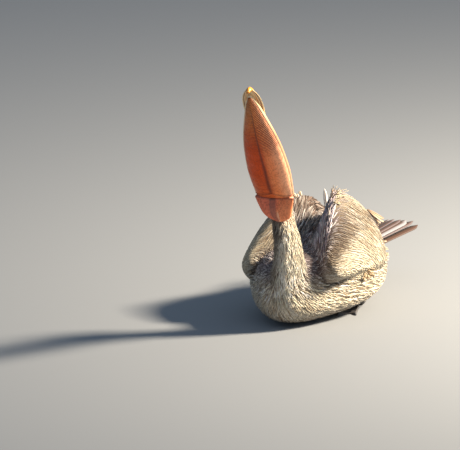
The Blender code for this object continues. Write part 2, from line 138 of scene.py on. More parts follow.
aim = Vector(AIM + ORIGIN)
towards_camera = Vector((math.sin(VIEW_TURN) * math.cos(VIEW_RISE),
                         -math.cos(VIEW_TURN) * math.cos(VIEW_RISE),
                         math.sin(VIEW_RISE)))
lens = bpy.data.cameras.new("camera")
lens.sensor_width = SENSOR_WIDTH
lens.lens = lens.sensor_width * VIEW_DISTANCE / VIEW_WIDTH
lens.clip_end = 200.0
camera = put("camera", lens)
camera.location = aim + towards_camera * VIEW_DISTANCE
camera.rotation_mode = "QUATERNION"
camera.rotation_quaternion = (-towards_camera).to_track_quat("-Z", "Y")
bpy.context.scene.camera = camera
print("lens", round(lens.lens), "mm at", VIEW_DISTANCE, "m")

# %% [markdown]
# ## Floor and light
# A plain pale floor, one warm lamp on the bird's left and a little behind it, a faint one in
# front, and a weak cool sky. Light that grazes the feathers shows each one, and the slopes
# turned away from the lamp fall into a soft violet shade.


# %% Floor and lamps
def linear(colours):
    """Linear red, green and blue of 0 to 255 colours as they are seen on a screen."""
    seen = np.array(colours) / 255.0
    return np.where(seen <= 0.04045, seen / 12.92, ((seen + 0.055) / 1.055) ** 2.4)


def srgb(*colour):
    """One such colour with an opacity of 1, which is what a socket takes."""
    return (*linear(colour), 1.0)


def lamp(name, place, size, power, colour):
    """Square soft lamp of the given size, turned to face the middle of the bird."""
    light = bpy.data.lights.new(name, "AREA")
    light.size, light.energy, light.color = size, power, colour[:3]
    holder = put(name, light)
    holder.location = place
    holder.rotation_mode = "QUATERNION"
    inwards = Vector(BIRD_MIDDLE) - Vector(place)
    holder.rotation_quaternion = inwards.to_track_quat("-Z", "Y")


FLOOR_HALF, SKY_STRENGTH = 30.0, 0.37
BIRD_MIDDLE = (ORIGIN[0], ORIGIN[1] + 0.25, 0.25)
floor_mesh = bpy.data.meshes.new("floor")
floor_corners = [(FLOOR_HALF * x, FLOOR_HALF * y, 0)
                 for x, y in ((-1, -1), (1, -1), (1, 1), (-1, 1))]
floor_mesh.from_pydata(floor_corners, [], [(0, 1, 2, 3)])
floor = put("floor", floor_mesh)
floor_finish = bpy.data.materials.new("pale floor")
floor_finish.use_nodes = True
floor_shader = floor_finish.node_tree.nodes["Principled BSDF"]
floor_shader.inputs["Base Color"].default_value = srgb(134, 138, 145)
floor_shader.inputs["Roughness"].default_value = 0.9
floor.data.materials.append(floor_finish)

sky = bpy.data.worlds.new("soft sky")
sky.use_nodes = True
backdrop = sky.node_tree.nodes["Background"]
backdrop.inputs["Color"].default_value = (0.62, 0.80, 1.0, 1)
backdrop.inputs["Strength"].default_value = SKY_STRENGTH
bpy.context.scene.world = sky
bpy.context.scene.view_settings.view_transform = "Standard"
lamp("key", (2.53, 1.33, 2.42), size=0.6, power=540.0, colour=srgb(255, 238, 210))
lamp("fill", (-2.6, -3.0, 2.2), size=2.6, power=3.0, colour=srgb(206, 220, 255))
print("floor, sky and two lamps")

# %% [markdown]
# ## Writing finishes as sums
# Blender's materials are graphs of nodes. Drawn by hand they are quick to try but hard to
# read back, so here a socket is wrapped in a small class that knows how to add, subtract and
# multiply: `1 - mask * 0.4` puts in the Math nodes by itself. Every other node comes from one
# method, which takes the node's type, its settings and what goes into its sockets.


# %% Sockets that do arithmetic
def arithmetic(operation, swapped=False):
    """A method of Wire that adds one Math node; swapped puts its own value second."""
    def method(self, other=0.0):
        first, second = (other, self) if swapped else (self, other)
        return self.finish.add("Math", {"operation": operation}, {0: first, 1: second})
    return method


class Wire:
    """One output socket of a finish. Arithmetic on it adds Math nodes."""

    def __init__(self, finish, socket):
        self.finish, self.socket = finish, socket

    __add__ = __radd__ = arithmetic("ADD")
    __mul__ = __rmul__ = arithmetic("MULTIPLY")
    __sub__, __rsub__ = arithmetic("SUBTRACT"), arithmetic("SUBTRACT", swapped=True)
    __abs__ = arithmetic("ABSOLUTE")

    def eased(self, low, high, start=0.0, end=1.0):
        """An S-curve from start to end while this value goes from low to high."""
        return self.finish.add("MapRange", {"interpolation_type": "SMOOTHSTEP"},
                               {"Value": self, "From Min": low, "From Max": high,
                                "To Min": start, "To Max": end})


class Finish:
    """A material under construction, with one Principled shader."""

    def __init__(self, name, **constants):
        self.material = bpy.data.materials.new(name)
        self.material.use_nodes = True
        self.tree = self.material.node_tree
        self.shader = self.tree.nodes["Principled BSDF"]
        for socket, value in constants.items():
            self.shader.inputs[socket.replace("_", " ")].default_value = value

    def add(self, kind, settings=None, sockets=None, out=0):
        """Adds a node: first its settings, then the values or wires of its sockets."""
        node = self.tree.nodes.new("ShaderNode" + kind)
        for key, value in (settings or {}).items():
            setattr(node, key, value)
        for key, value in (sockets or {}).items():
            self.feed(node.inputs[key], value)
        return Wire(self, node.outputs[out])

    def feed(self, socket, value):
        if isinstance(value, Wire):
            self.tree.links.new(value.socket, socket)
        else:
            socket.default_value = value

    def place(self):
        """Where the surface point is, in metres in the frame of the solids."""
        return self.add("TexCoord", out=3)

    def mark(self, name, colour=False):
        """A value, or a colour, kept at each point of the mesh."""
        return self.add("Attribute", {"attribute_name": name}, out=0 if colour else 2)

    def stretched(self, place, scale):
        return self.add("Mapping", None, {"Vector": place, "Scale": scale})

    def noise(self, place, scale, detail=3.0):
        return self.add("TexNoise", None, {"Vector": place, "Scale": scale,
                                           "Detail": detail, "Roughness": 0.55})

    def blend(self, first, second, share, way="MIX"):
        """Mixes two colours; share is how much of the second shows."""
        return self.add("Mix", {"data_type": "RGBA", "blend_type": way},
                        {0: share, 6: first, 7: second}, out=2)

    def layers(self, colour, *rows):
        """Blends rows of (colour, share) or (colour, share, way) over a colour, in turn."""
        for row in rows:
            colour = self.blend(colour, *row)
        return colour

    def finish(self, colour, roughness=None, height=None, distance=0.0005, strength=0.6):
        """Feeds the shader: colour, roughness, and a height that bends its normal."""
        self.feed(self.shader.inputs["Base Color"], colour)
        if roughness is not None:
            self.feed(self.shader.inputs["Roughness"], roughness)
        if height is not None:
            bump = self.add("Bump", None, {"Strength": strength, "Distance": distance,
                                           "Height": height})
            self.feed(self.shader.inputs["Normal"], bump)
        return self.material

    def grained(self, colour, grain, smooth, rough, distance):
        """Finishes with a grain that is its height and takes its roughness from smooth to
        rough."""
        return self.finish(colour, roughness=grain.eased(0.2, 0.8, smooth, rough),
                           height=grain, distance=distance)


print("finishes are ready to be written")

# %% [markdown]
# ## Putting numbers into a mesh
# A mesh is a list of points and a list of faces. Whole numpy arrays go in at once, which is
# quick enough for a million triangles. A closed tube is the shape behind most pieces here:
# rings of points one after another, joined into four-sided faces, with a point closing each
# end. Its faces look outwards when the volume they enclose comes out positive.

# %% Meshes from arrays
BAKE_MAP = "OFBake"


def tube_faces(rings, around):
    """Faces of a tube with a closing point at each end. Points are numbered ring by ring,
    then the first end and the last end."""
    here = np.arange(rings * around).reshape(rings, around)
    turn = np.roll(here, -1, axis=1)
    quads = np.stack((here[:-1], turn[:-1], turn[1:], here[1:]), axis=-1).reshape(-1, 4)
    first, last = rings * around, rings * around + 1
    start = np.stack((turn[0], here[0], np.full(around, first)), axis=-1)
    end = np.stack((here[-1], turn[-1], np.full(around, last)), axis=-1)
    return quads, np.concatenate((start, end))


def volume_of(points, quads, triangles):
    """Volume inside the faces: a sixth of the sum of a . (b x c) over all triangles."""
    thirds = np.concatenate((triangles, quads[:, :3], quads[:, (0, 2, 3)]))
    a, b, c = (points[thirds[:, k]] for k in range(3))
    return np.einsum("ij,ij->", a, np.cross(b, c)) / 6


def new_piece(name, points, quads, triangles, material, replaces=(), marks=None,
              bake_map=None):
    """Makes an object of the arrays, gives it its marks and finish, and lets it ride."""
    mesh = bpy.data.meshes.new(name)
    corners = np.concatenate((quads.ravel(), triangles.ravel())).astype(np.int32)
    sizes = np.repeat((4, 3), (len(quads), len(triangles)))
    mesh.vertices.add(len(points))
    mesh.vertices.foreach_set("co", (points + ORIGIN).astype(np.float32).ravel())
    mesh.loops.add(len(corners))
    mesh.loops.foreach_set("vertex_index", corners)
    mesh.polygons.add(len(sizes))
    starts = np.concatenate(((0,), np.cumsum(sizes)[:-1])).astype(np.int32)
    mesh.polygons.foreach_set("loop_start", starts)
    mesh.update(calc_edges=True)
    mesh.polygons.foreach_set("use_smooth", np.ones(len(sizes), bool))
    for key, values in (marks or {}).items():
        kind, field = "FLOAT", "value"
        if values.ndim == 2:
            kind, field = "FLOAT_COLOR", "color"
            values = np.concatenate((values, np.ones((len(values), 1))), axis=1)
        mark = mesh.attributes.new(key, kind, "POINT")
        mark.data.foreach_set(field, values.astype(np.float32).ravel())
    if bake_map is not None:
        layer = mesh.uv_layers.new(name=BAKE_MAP)
        layer.data.foreach_set("uv", bake_map[corners].astype(np.float32).ravel())
    mesh.materials.append(material)
    piece = put(name, mesh)
    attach(piece, "root")
    if replaces:
        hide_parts(*replaces)
    print(f"{name}: {2 * len(quads) + len(triangles)} triangles")


def tube_piece(name, rings, material, replaces=(), marks=None):
    """Closed tube through rings of points, shaped (rings, around, 3)."""
    count, around = rings.shape[:2]
    ends = rings[[0, -1]].mean(axis=1)
    points = np.concatenate((rings.reshape(-1, 3), ends))
    quads, triangles = tube_faces(count, around)
    if volume_of(points, quads, triangles) < 0:
        quads, triangles = quads[:, ::-1], triangles[:, ::-1]
    full = {}
    for key, values in (marks or {}).items():
        values = np.broadcast_to(values, (count, around))
        full[key] = np.concatenate((values.ravel(), values[[0, -1]].mean(axis=1)))
    new_piece(name, points, quads, triangles, material, replaces, full)


def power_circle(count, squareness=2.0):
    """Cosine and sine round a circle, pushed towards a square as squareness grows."""
    angle = np.arange(count) * 2 * math.pi / count
    cos, sin = np.cos(angle), np.sin(angle)
    power = 2.0 / squareness
    return np.sign(cos) * np.abs(cos) ** power, np.sign(sin) * np.abs(sin) ** power


print("mesh helpers are ready")

# %% [markdown]
# ## One skin under the feathers
# The solids part the bird into trunk, wings, neck and head. A living bird has one skin, so
# copies of the fleshy solids are swollen by a hair, joined, and remeshed: the voxel remesher
# throws away all that is inside and wraps what is left in even four-sided faces. A few rounds
# of averaging take off the voxel steps. Then every point sinks by the depth of the coat
# there, so that the feathers end where the solids end, and deeper in the folds under the
# wings.

# %% The fleshy solids, joined
FLESH = {"head": ("head",), "neck": ("neck_upper", "neck_lower"), "trunk": ("trunk",),
         "wing": ("wing_left", "wing_right"),
         "scapular": ("scapulars_left", "scapulars_right"),
         "flight": ("flight_feathers_left", "flight_feathers_right")}
TRACTS = list(FLESH)
COAT_DEPTH = {"head": 0.0026, "neck": 0.0045, "trunk": 0.0055, "wing": 0.0055,
              "scapular": 0.0060, "flight": 0.0060}
VOXEL, SWELL, FOLD_DEPTH, WELD = 0.0050, 0.0009, 0.011, 1e-5
WRAP_ROUNDS, SHARE_ROUNDS, SKIN_ROUNDS, NORMAL_ROUNDS, COVER_ROUNDS = 5, 10, 2, 4, 60


def read_out(items, key, width, kind=float):
    """One attribute of all the items of a mesh, as an array with width columns."""
    values = np.empty(len(items) * width, kind)
    items.foreach_get(key, values)
    return values.reshape(-1, width)


def merged(node):
    """Points, normals and triangles of a CAD node, in the bird's measure, with its loose
    triangles joined at their corners."""
    shell = bmesh.new()
    shell.from_mesh(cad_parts[node].data)
    bmesh.ops.remove_doubles(shell, verts=shell.verts, dist=WELD)
    mesh = bpy.data.meshes.new(node + "_copy")
    shell.to_mesh(mesh)
    shell.free()
    mesh.calc_loop_triangles()
    arrays = (read_out(mesh.vertices, "co", 3) - ORIGIN,
              read_out(mesh.vertex_normals, "vector", 3),
              read_out(mesh.loop_triangles, "vertices", 3, np.int32))
    bpy.data.meshes.remove(mesh)
    return arrays


def joined(nodes, swell=0.0):
    """Arrays of several nodes as one, each point pushed out along its normal by swell,
    and for each triangle the number of the node it comes from."""
    points, triangles, owners, shift = [], [], [], 0
    for number, node in enumerate(nodes):
        own_points, own_normals, own_triangles = merged(node)
        points.append(own_points + swell * own_normals)
        triangles.append(own_triangles + shift)
        owners.append(np.full(len(own_triangles), number))
        shift += len(own_points)
    return np.concatenate(points), np.concatenate(triangles), np.concatenate(owners)


def part(share, *tracts):
    """How much of each place's share falls to these tracts together."""
    return share[:, [TRACTS.index(tract) for tract in tracts]].sum(axis=1)


flesh_nodes = [node for tract in TRACTS for node in FLESH[tract]]
node_tract = np.array([TRACTS.index(t) for t in TRACTS for node in FLESH[t]])
flesh_points, flesh_triangles, flesh_owner = joined(flesh_nodes, SWELL)
flesh_tree = BVHTree.FromPolygons(flesh_points.tolist(), flesh_triangles.tolist())
print(len(flesh_nodes), "fleshy solids joined,", len(flesh_triangles), "triangles")


# %% Remesh and smooth
def averaged(values, edges, rounds):
    """Moves each point's value half way to the mean of its neighbours, some rounds over."""
    values = np.array(values, float)
    ends = np.concatenate((edges, edges[:, ::-1]))
    degree = np.bincount(ends[:, 0], minlength=len(values))[:, None]
    for _ in range(rounds):
        total = np.zeros_like(values)
        np.add.at(total, ends[:, 0], values[ends[:, 1]])
        values += 0.5 * (total / degree - values)
    return values


def remeshed(points, triangles):
    """Blender's voxel remesher on arrays; gives a mesh of even four-sided faces."""
    source = bpy.data.meshes.new("flesh")
    source.from_pydata(points.tolist(), [], triangles.tolist())
    holder = put("flesh", source)
    remesh = holder.modifiers.new("remesh", "REMESH")
    remesh.mode, remesh.voxel_size, remesh.adaptivity = "VOXEL", VOXEL, 0.0
    evaluated = holder.evaluated_get(bpy.context.evaluated_depsgraph_get())
    result = bpy.data.meshes.new_from_object(evaluated)
    bpy.data.objects.remove(holder)
    bpy.data.meshes.remove(source)
    return result


wrap = remeshed(flesh_points, flesh_triangles)
skin_quads = read_out(wrap.loops, "vertex_index", 1, np.int32).reshape(-1, 4)
skin_edges = read_out(wrap.edges, "vertices", 2, np.int32)
skin_points = averaged(read_out(wrap.vertices, "co", 3), skin_edges, WRAP_ROUNDS)
print("one wrap of", len(skin_quads), "faces")


# %% Tracts, folds and depth
# how far each crest lies from the middle, how much the right one moves out as it rises, and
# the share by which both close in towards the top
LEFT_CREST, RIGHT_CREST, RIGHT_SPREAD, CREST_CLOSING = 0.089, 0.040, 0.020, 0.36
# the breast's edge on the right: how far back it goes, how far out it lies at the height
# BREAST_TOP, and its slope below that
BREAST_REACH, BREAST_EDGE, BREAST_TOP, BREAST_SLOPE = 0.16, 0.030, 0.206, 0.58


def past_crest(places):
    """Distance outwards from the crest that runs from each wrist up to the hump's top."""
    x, _, up = places.T
    border = np.where(x > 0, LEFT_CREST, RIGHT_CREST + RIGHT_SPREAD * eased(up, 0.20, 0.25))
    return np.abs(x) - (border - CREST_CLOSING * border * eased(up, 0.245, 0.315))


def outer_face(places, half=0.008):
    """0 on the slope between the wings and 1 beyond the crest; half is half the width of
    the change."""
    return eased(past_crest(places), -half, half)


def point_normals(points, quads):
    """Normal at each point: the sum of the crossed diagonals of its faces, to length one."""
    crossed = np.cross(points[quads[:, 2]] - points[quads[:, 0]],
                       points[quads[:, 3]] - points[quads[:, 1]])
    normals = np.zeros_like(points)
    for corner in range(4):
        np.add.at(normals, quads[:, corner], crossed)
    return unit(normals)


def nearest_on(tree, places):
    """Nearest point, its normal, its face and its distance, for each place."""
    found = [tree.find_nearest(place) for place in places.tolist()]
    return [np.array(column) for column in zip(*found)]


skin_normals = point_normals(skin_points, skin_quads)
_, _, nearest_face, _ = nearest_on(flesh_tree, skin_points)
skin_tract = node_tract[flesh_owner[nearest_face]]
trunk, wing, scapular = (TRACTS.index(tract) for tract in ("trunk", "wing", "scapular"))
outside = outer_face(skin_points) > 0.5
skin_tract[(skin_tract == scapular) & outside] = wing
skin_tract[(skin_tract == wing) & ~outside] = scapular
x, back, up = skin_points.T
on_breast = -x < BREAST_EDGE + BREAST_SLOPE * (BREAST_TOP - up)
skin_tract[(x < 0) & (back < BREAST_REACH) & on_breast & (skin_tract > trunk)] = trunk
skin_share = averaged(np.eye(len(TRACTS))[skin_tract], skin_edges, SHARE_ROUNDS)
depth = skin_share @ np.array([COAT_DEPTH[t] for t in TRACTS])


def fold_at(places, share, trunk_share=0.58, width=0.15):
    """1 in the crease under the front of each wing, where trunk and wing meet, and 0 away
    from it; it fades along the flank and up the inner slope."""
    x, back, _ = places.T
    meeting = bell(part(share, "trunk") - trunk_share, width)
    front = 1 - eased(back - np.where(x < 0, 0.04, 0.0), 0.14, 0.23)
    return (meeting * front * (1 - part(share, "head", "neck"))
            * eased(x * np.where(x < 0, -2.4, 1.0), 0.060, 0.080))


depth = depth + FOLD_DEPTH * fold_at(skin_points, skin_share)
skin_points = skin_points - skin_normals * (depth + SWELL)[:, None]
skin_points = averaged(skin_points, skin_edges, SKIN_ROUNDS)
skin_normals = averaged(point_normals(skin_points, skin_quads), skin_edges, NORMAL_ROUNDS)
skin_triangles = np.concatenate((skin_quads[:, :3], skin_quads[:, (0, 2, 3)]))
skin_tree = BVHTree.FromPolygons(skin_points.tolist(), skin_triangles.tolist())
# the feathers lie on a cover that is the skin, but bridges the dip between wing and flank
bridged = (4 * part(skin_share, "trunk") * part(skin_share, "wing", "scapular", "flight")
           * eased(skin_points[:, 1], 0.17, 0.25))[:, None]
cover_points = averaged(skin_points, skin_edges, COVER_ROUNDS)
cover_points = skin_points + bridged * (cover_points - skin_points)
cover_tree = BVHTree.FromPolygons(cover_points.tolist(), skin_triangles.tolist())
print("skin:", len(skin_points), "points; share of tracts",
      dict(zip(TRACTS, np.bincount(skin_tract, minlength=len(TRACTS)).tolist())))

# %% [markdown]
# ## Markings and painted shade
# The colour of the plumage belongs to the place on the bird and not to the single feather: a
# straw-grey neck, buff wings with brown-grey front edges, grey scapulars, a mottled breast.
# Over these the same sum lays painted shade: drab on the neck's far side, on the wings' front
# edges and on the far slope, dusk on the shoulder and the near crest, a violet cast on the
# near slope for its sky-lit shade, and painted shadow in the folds, under the chin and beside
# the neck's foot. The same sum of places gives the colour of the skin and of every feather
# that stands on it, so the two can't disagree where one shows between the other.

# %% Colours by place
TRACT_COLOUR = {"head": (232, 224, 210), "neck": (253, 240, 214), "trunk": (216, 202, 178),
                "wing": (222, 210, 184), "scapular": (182, 172, 172),
                "flight": (226, 210, 180)}
# shadow is the colour of painted shadow; dusk, drab and ash also lay painted shade where they
# are used
CREAM, ASH, DUSK, DRAB, SHADOW = linear((
    (236, 226, 200), (176, 168, 188), (124, 115, 130), (92, 75, 64), (40, 31, 31)))
# centre and reach of the painted shadow under the chin
CHIN, CHIN_RADIUS = (-0.004, -0.010, 0.268), 0.032
# the neck's left edge: the direction across it, to the left and back, how far out it lies
# at the height NECK_FOOT, and how much further for each metre below
NECK_ACROSS, NECK_EDGE, NECK_FOOT, NECK_FLARE = (0.937, 0.35), 0.071, 0.2075, 0.075


def beside_neck(places, normals):
    """1 on the shoulder beside the neck's foot: left of the line that goes on down the
    neck's left edge, and where the foot of the neck begins to face upwards."""
    x, back, up = places.T
    leftwards = NECK_ACROSS[0] * x + NECK_ACROSS[1] * back
    past_edge = eased(leftwards - NECK_EDGE - NECK_FLARE * (NECK_FOOT - up), -0.004, 0.004)
    shelf = eased(normals[:, 2], 0.20, 0.40) * (1 - eased(up, 0.200, 0.225))
    return np.maximum(past_edge, shelf)


def markings_and_shade(places, normals, share):
    """Colour at each place: the mix of the tracts' colours by share, and over it, each by
    its weight: cream low on the flank and on the wings' outer faces; dusk on the shoulder, its
    violet-grey darkened by painted shade, and on the left crest as painted shade; drab on the
    wings' front edges, their brown-grey tint with painted shade, on the right slope, its brown
    with painted shade, and on the neck's right side as painted shade; ash on the left slope,
    its grey tinted violet as painted sky-lit shade; painted shadow under the chin, beside the
    neck's foot and in the fold under each wing."""
    x, back, up = places.T
    beyond, beside = past_crest(places), beside_neck(places, normals)
    body, neck, wing = part(share, "trunk"), part(share, "neck"), part(share, "wing", "flight")
    low = body * (1 - eased(up, 0.085, 0.135)) * eased(up, 0.0, 0.05)
    # dusk on the shoulder: its violet-grey plumage, darkened as painted shade
    shoulder = body + neck * beside
    shoulder = shoulder * eased(up, 0.105, 0.150) * (1 - eased(back, 0.3, 0.5))
    outer = wing * eased(beyond, 0.035, 0.070)
    # drab on the wings' front edges: their brown-grey tint and painted shade, less of it low
    # down by the fold
    front = wing * (1 - eased(beyond, 0.020, 0.048)) * (1 - eased(up, 0.23, 0.30))
    front = front * np.where(x > 0, 0.86, 0.4) * (0.35 + 0.65 * eased(up, 0.130, 0.180))
    # ash on the left slope, inner times left below: the scapulars' grey tinted violet as
    # painted sky-lit shade
    inner = part(share, "wing", "scapular", "flight") * (1 - outer_face(places, 0.012))
    left = eased(x, 0.0, 0.02)
    # drab on the right slope, most towards its lit top: brown plumage and painted shade
    far_slope_brown_and_shade = inner * (1 - left) * (0.15 + 0.75 * eased(up, 0.215, 0.245))
    # dusk on the left crest: painted shade on the band the lamp lights
    crest = inner * eased(beyond, -0.034, -0.010) * left
    # drab on the neck's right side: painted shade
    far_neck_shade = neck * (1 - eased(x, -0.004, 0.024))
    # painted shadow under the chin
    chin = np.exp(-((places - CHIN) ** 2).sum(axis=1) / CHIN_RADIUS ** 2)
    chin = chin * part(share, "head", "neck") * (1 - eased(x, 0.010, 0.026))
    colour = share @ linear([TRACT_COLOUR[tract] for tract in TRACTS])
    for weight, aim_colour in (
            # painted shade: dusk on the shoulder, drab on the front edges, the neck's right
            # side and the right slope, ash's violet on the left slope
            (low * 0.7, CREAM), (shoulder * 0.9, DUSK), (outer * 0.8, CREAM), (front, DRAB),
            (far_neck_shade * 0.75, DRAB), (inner * 0.8 * left, ASH), (far_slope_brown_and_shade, DRAB),
            # painted shade: dusk on the crest; painted shadow under the chin and beside the
            # neck's foot
            (crest * 0.55, DUSK), (chin * 0.95, SHADOW), (neck * beside * 0.45, SHADOW),
            # painted shadow in the fold under each wing
            (fold_at(places, share, 0.63, 0.12), SHADOW)):
        colour += weight[:, None] * (aim_colour - colour)
    return colour


skin_colour = markings_and_shade(skin_points, skin_normals, skin_share)
print("mean plumage colour", skin_colour.mean(axis=0).round(3))

# %% [markdown]
# ## The skin as a piece
# Under the feathers the skin carries their soft grey down, so its finish is the place's own
# colour, darkened, with a felt of fine noise and near-black flecks: the grey of the down and
# painted shade deep in the coat. It is hardly seen, but where feathers part it must look like
# the depth of a coat and not like a hole.

# %% Skin
DOWN_SHADE = (0.42, 0.38, 0.36, 1)
down = Finish("down on skin", Roughness=0.9, Specular_IOR_Level=0.15)
felt = down.noise(down.place(), 420.0, detail=2.0)
# the down's grey, and painted shade deep in the coat: the place's colour darkened, with
# near-black flecks
down_colour = down.layers(down.mark("coat", colour=True), (DOWN_SHADE, 1.0, "MULTIPLY"),
                          ((0.02, 0.017, 0.015, 1), felt.eased(0.35, 0.75) * 0.5))
down_material = down.finish(down_colour, height=felt, distance=0.0008)
new_piece("skin", skin_points, skin_quads, np.empty((0, 3), int), down_material,
          replaces=flesh_nodes, marks={"coat": skin_colour})

# %% [markdown]
# ## The bill's own directions
# The head is thrown back, so the bill rises steeply and turns a little to the bird's right.
# Every part of it is easier to think of lying level: f runs forward from the jaw, s to the
# left, and t towards the crown. One helper turns such places into the bird's measure.

# %% Bill frame
JAW = np.array((0.0015, -0.010, 0.348))
BILL_RISE, BILL_TURN = math.radians(49.6), math.radians(6.8)
LEVEL = np.array((math.sin(BILL_TURN), -math.cos(BILL_TURN), 0.0))
FORWARD = LEVEL * math.cos(BILL_RISE) + np.array((0, 0, math.sin(BILL_RISE)))
LEFT = np.array((math.cos(BILL_TURN), math.sin(BILL_TURN), 0.0))
CROWNWARD = -np.cross(LEFT, FORWARD)
BILL_LENGTH, CUTTING_EDGE = 0.424, (0.0200, 0.0110)
RAMUS_HEIGHT, GAP, GRAIN_STRETCH = 0.0085, 0.0004, (1.0, 0.35, 0.35)


def in_bill_frame(f, s, t):
    """Places of points given along, across and above the bill."""
    f, s, t = np.broadcast_arrays(f, s, t)
    return JAW + f[..., None] * FORWARD + s[..., None] * LEFT + t[..., None] * CROWNWARD


def from_bill_frame(places):
    """The same places as f, s and t."""
    return (places - JAW) @ np.stack((FORWARD, LEFT, CROWNWARD), axis=1)


def cutting_edge(f):
    """Height t of the line where the two mandibles meet."""
    return CUTTING_EDGE[0] + (CUTTING_EDGE[1] - CUTTING_EDGE[0]) * f / BILL_LENGTH


print("crownward is", CROWNWARD.round(3))

# %% [markdown]
# ## Upper mandible
# A pelican's upper mandible is a long flat strip with a rounded ridge down its middle, the
# culmen, a groove on each side of it, and a slight spoon before the tip. It is a tube whose
# ring changes along its length: half an ellipse raised to a ridge on top, almost flat below,
# where two fine grooves run beside the edge. The horn is grey-yellow, streaked along its
# length, with orange and cream lines towards the edge.

# %% Upper mandible
UPPER_BILL_SECTIONS = ((0.020, 0.024, 0.030), (0.070, 0.0225, 0.030), (0.120, 0.0205, 0.024),
                       (0.190, 0.0190, 0.018), (0.258, 0.0200, 0.014), (0.305, 0.0238, 0.012),
                       (0.340, 0.0262, 0.011), (0.375, 0.0245, 0.010), (0.399, 0.0185, 0.009),
                       (0.416, 0.0090, 0.007))
GROOVE_DEPTH, CHANNEL_DEPTH, PALATE_DEPTH = 0.0012, 0.0007, 0.002

f, half_width, height = curve_through(UPPER_BILL_SECTIONS, 120).T[:, :, None]
cos, sin = power_circle(72)
profile = np.where(sin > 0, height * (0.55 * sin + 0.45 * np.abs(sin) ** 5),
                   PALATE_DEPTH * sin)
groove = GROOVE_DEPTH * bell(np.abs(cos) - 0.42, 0.07) * (sin > 0) * eased(f, 0.05, 0.12)
channel = bell(np.abs(cos) - 0.86, 0.035) + bell(np.abs(cos) - 0.68, 0.035)
channel = CHANNEL_DEPTH * channel
profile = profile - groove + channel * (sin < 0)
upper_rings = in_bill_frame(f, half_width * cos, cutting_edge(f) + profile)

horn = Finish("bill horn", Specular_IOR_Level=0.5)
edge_line, horn_place = abs(horn.mark("across")), horn.place()
grain = horn.noise(horn.stretched(horn_place, GRAIN_STRETCH), 260.0, detail=5.0)
cloud = horn.noise(horn_place, 26.0, detail=4.0)
horn_colour = horn.layers(
    srgb(150, 140, 122), (srgb(188, 160, 116), cloud.eased(0.3, 0.7)),
    (srgb(112, 96, 84), grain.eased(0.5, 0.75) * 0.5),
    (srgb(232, 176, 92), edge_line.eased(0.70, 0.80)),
    (srgb(120, 92, 66), edge_line.eased(0.80, 0.84) * edge_line.eased(0.86, 0.90, 1.0, 0.0)),
    (srgb(240, 208, 148), edge_line.eased(0.90, 0.96)),
    (srgb(236, 150, 44), horn.mark("along").eased(0.82, 1.0) * 0.3))
belly_colour = horn.layers(
    srgb(252, 224, 172),
    (srgb(236, 136, 48), abs(edge_line - 0.60).eased(0.03, 0.09, 0.8, 0.0)),
    (srgb(140, 58, 24), abs(edge_line - 0.84).eased(0.02, 0.08, 0.95, 0.0)))
horn_colour = horn.blend(horn_colour, belly_colour, horn.mark("under"))
horn_material = horn.grained(horn_colour, grain, 0.34, 0.55, 0.0003)
tube_piece("upper_mandible", upper_rings, horn_material, ["bill_upper"],
           {"across": cos, "along": (f - f.min()) / BILL_LENGTH, "under": (sin < 0) * 1.0})

# %% [markdown]
# ## Nail
# The tip of the upper mandible ends in a hooked nail that bends down over the lower one. It
# is the brightest spot of the bill, a smooth orange claw. The tube bends as it goes: its
# middle line drops as the power 2.4 of the way along, and each ring leans with it.

# %% Nail
NAIL_START, NAIL_TOP, NAIL_HOOK, NAIL_LEAN = 0.386, 0.0190, 0.0240, math.radians(85.0)
NAIL_HALF_WIDTH, NAIL_THICKNESS, NAIL_BULGE, KEEL = 0.0085, 0.0034, 0.0026, 0.0007
u = np.linspace(0.0, 1.0, 48)[:, None]
nail_f = NAIL_START + (BILL_LENGTH - NAIL_START) * np.sin(u * math.pi / 2)
nail_t = NAIL_TOP - NAIL_HOOK * u ** 2.4
nail_thick = NAIL_THICKNESS + NAIL_BULGE * np.sin(u * math.pi)
nail_half = NAIL_HALF_WIDTH * np.sqrt(1.0 - 0.85 * u ** 2)
nail_lean = NAIL_LEAN * u ** 2
cos, sin = power_circle(40)
nail_out = nail_thick * sin + KEEL * bell(cos, 0.22) * (sin > 0)
nail_rings = in_bill_frame(nail_f + nail_out * np.sin(nail_lean), nail_half * cos,
                           nail_t + nail_out * np.cos(nail_lean))
claw = Finish("nail", Specular_IOR_Level=0.5, Coat_Weight=0.2, Coat_Roughness=0.2)
claw_grain = claw.noise(claw.stretched(claw.place(), (1.0, 0.3, 0.3)), 420.0, detail=3.0)
claw_colour = claw.layers(
    srgb(240, 138, 22), (srgb(250, 186, 74), claw_grain.eased(0.3, 0.7)),
    (srgb(196, 84, 16), claw.mark("along").eased(0.8, 1.0) * 0.35))
nail_material = claw.grained(claw_colour, claw_grain, 0.28, 0.42, 0.0002)
tube_piece("nail", nail_rings, nail_material, ["bill_nail"], {"along": u})

# %% [markdown]
# ## Lower mandible
# The lower mandible is two thin springy rods of bone, the rami, joined only at the tip. When
# the bird throws its head back and stretches the pouch they bow apart. A profile like a
# rounded strip is carried along the bowed path from the left jaw round the tip to the right
# jaw, with a shallow groove along its outer face.

# %% Lower mandible
LOWER_BILL_SECTIONS = ((0.0, 0.0490), (0.050, 0.0525), (0.090, 0.0545), (0.150, 0.0525),
                       (0.195, 0.0490), (0.240, 0.0430), (0.295, 0.0325), (0.335, 0.0240),
                       (0.375, 0.0150), (0.402, 0.0060))
RAMUS_WIDTH, EDGE_DEPTH = 0.0050, 0.0025
TIP_F = LOWER_BILL_SECTIONS[-1][0]

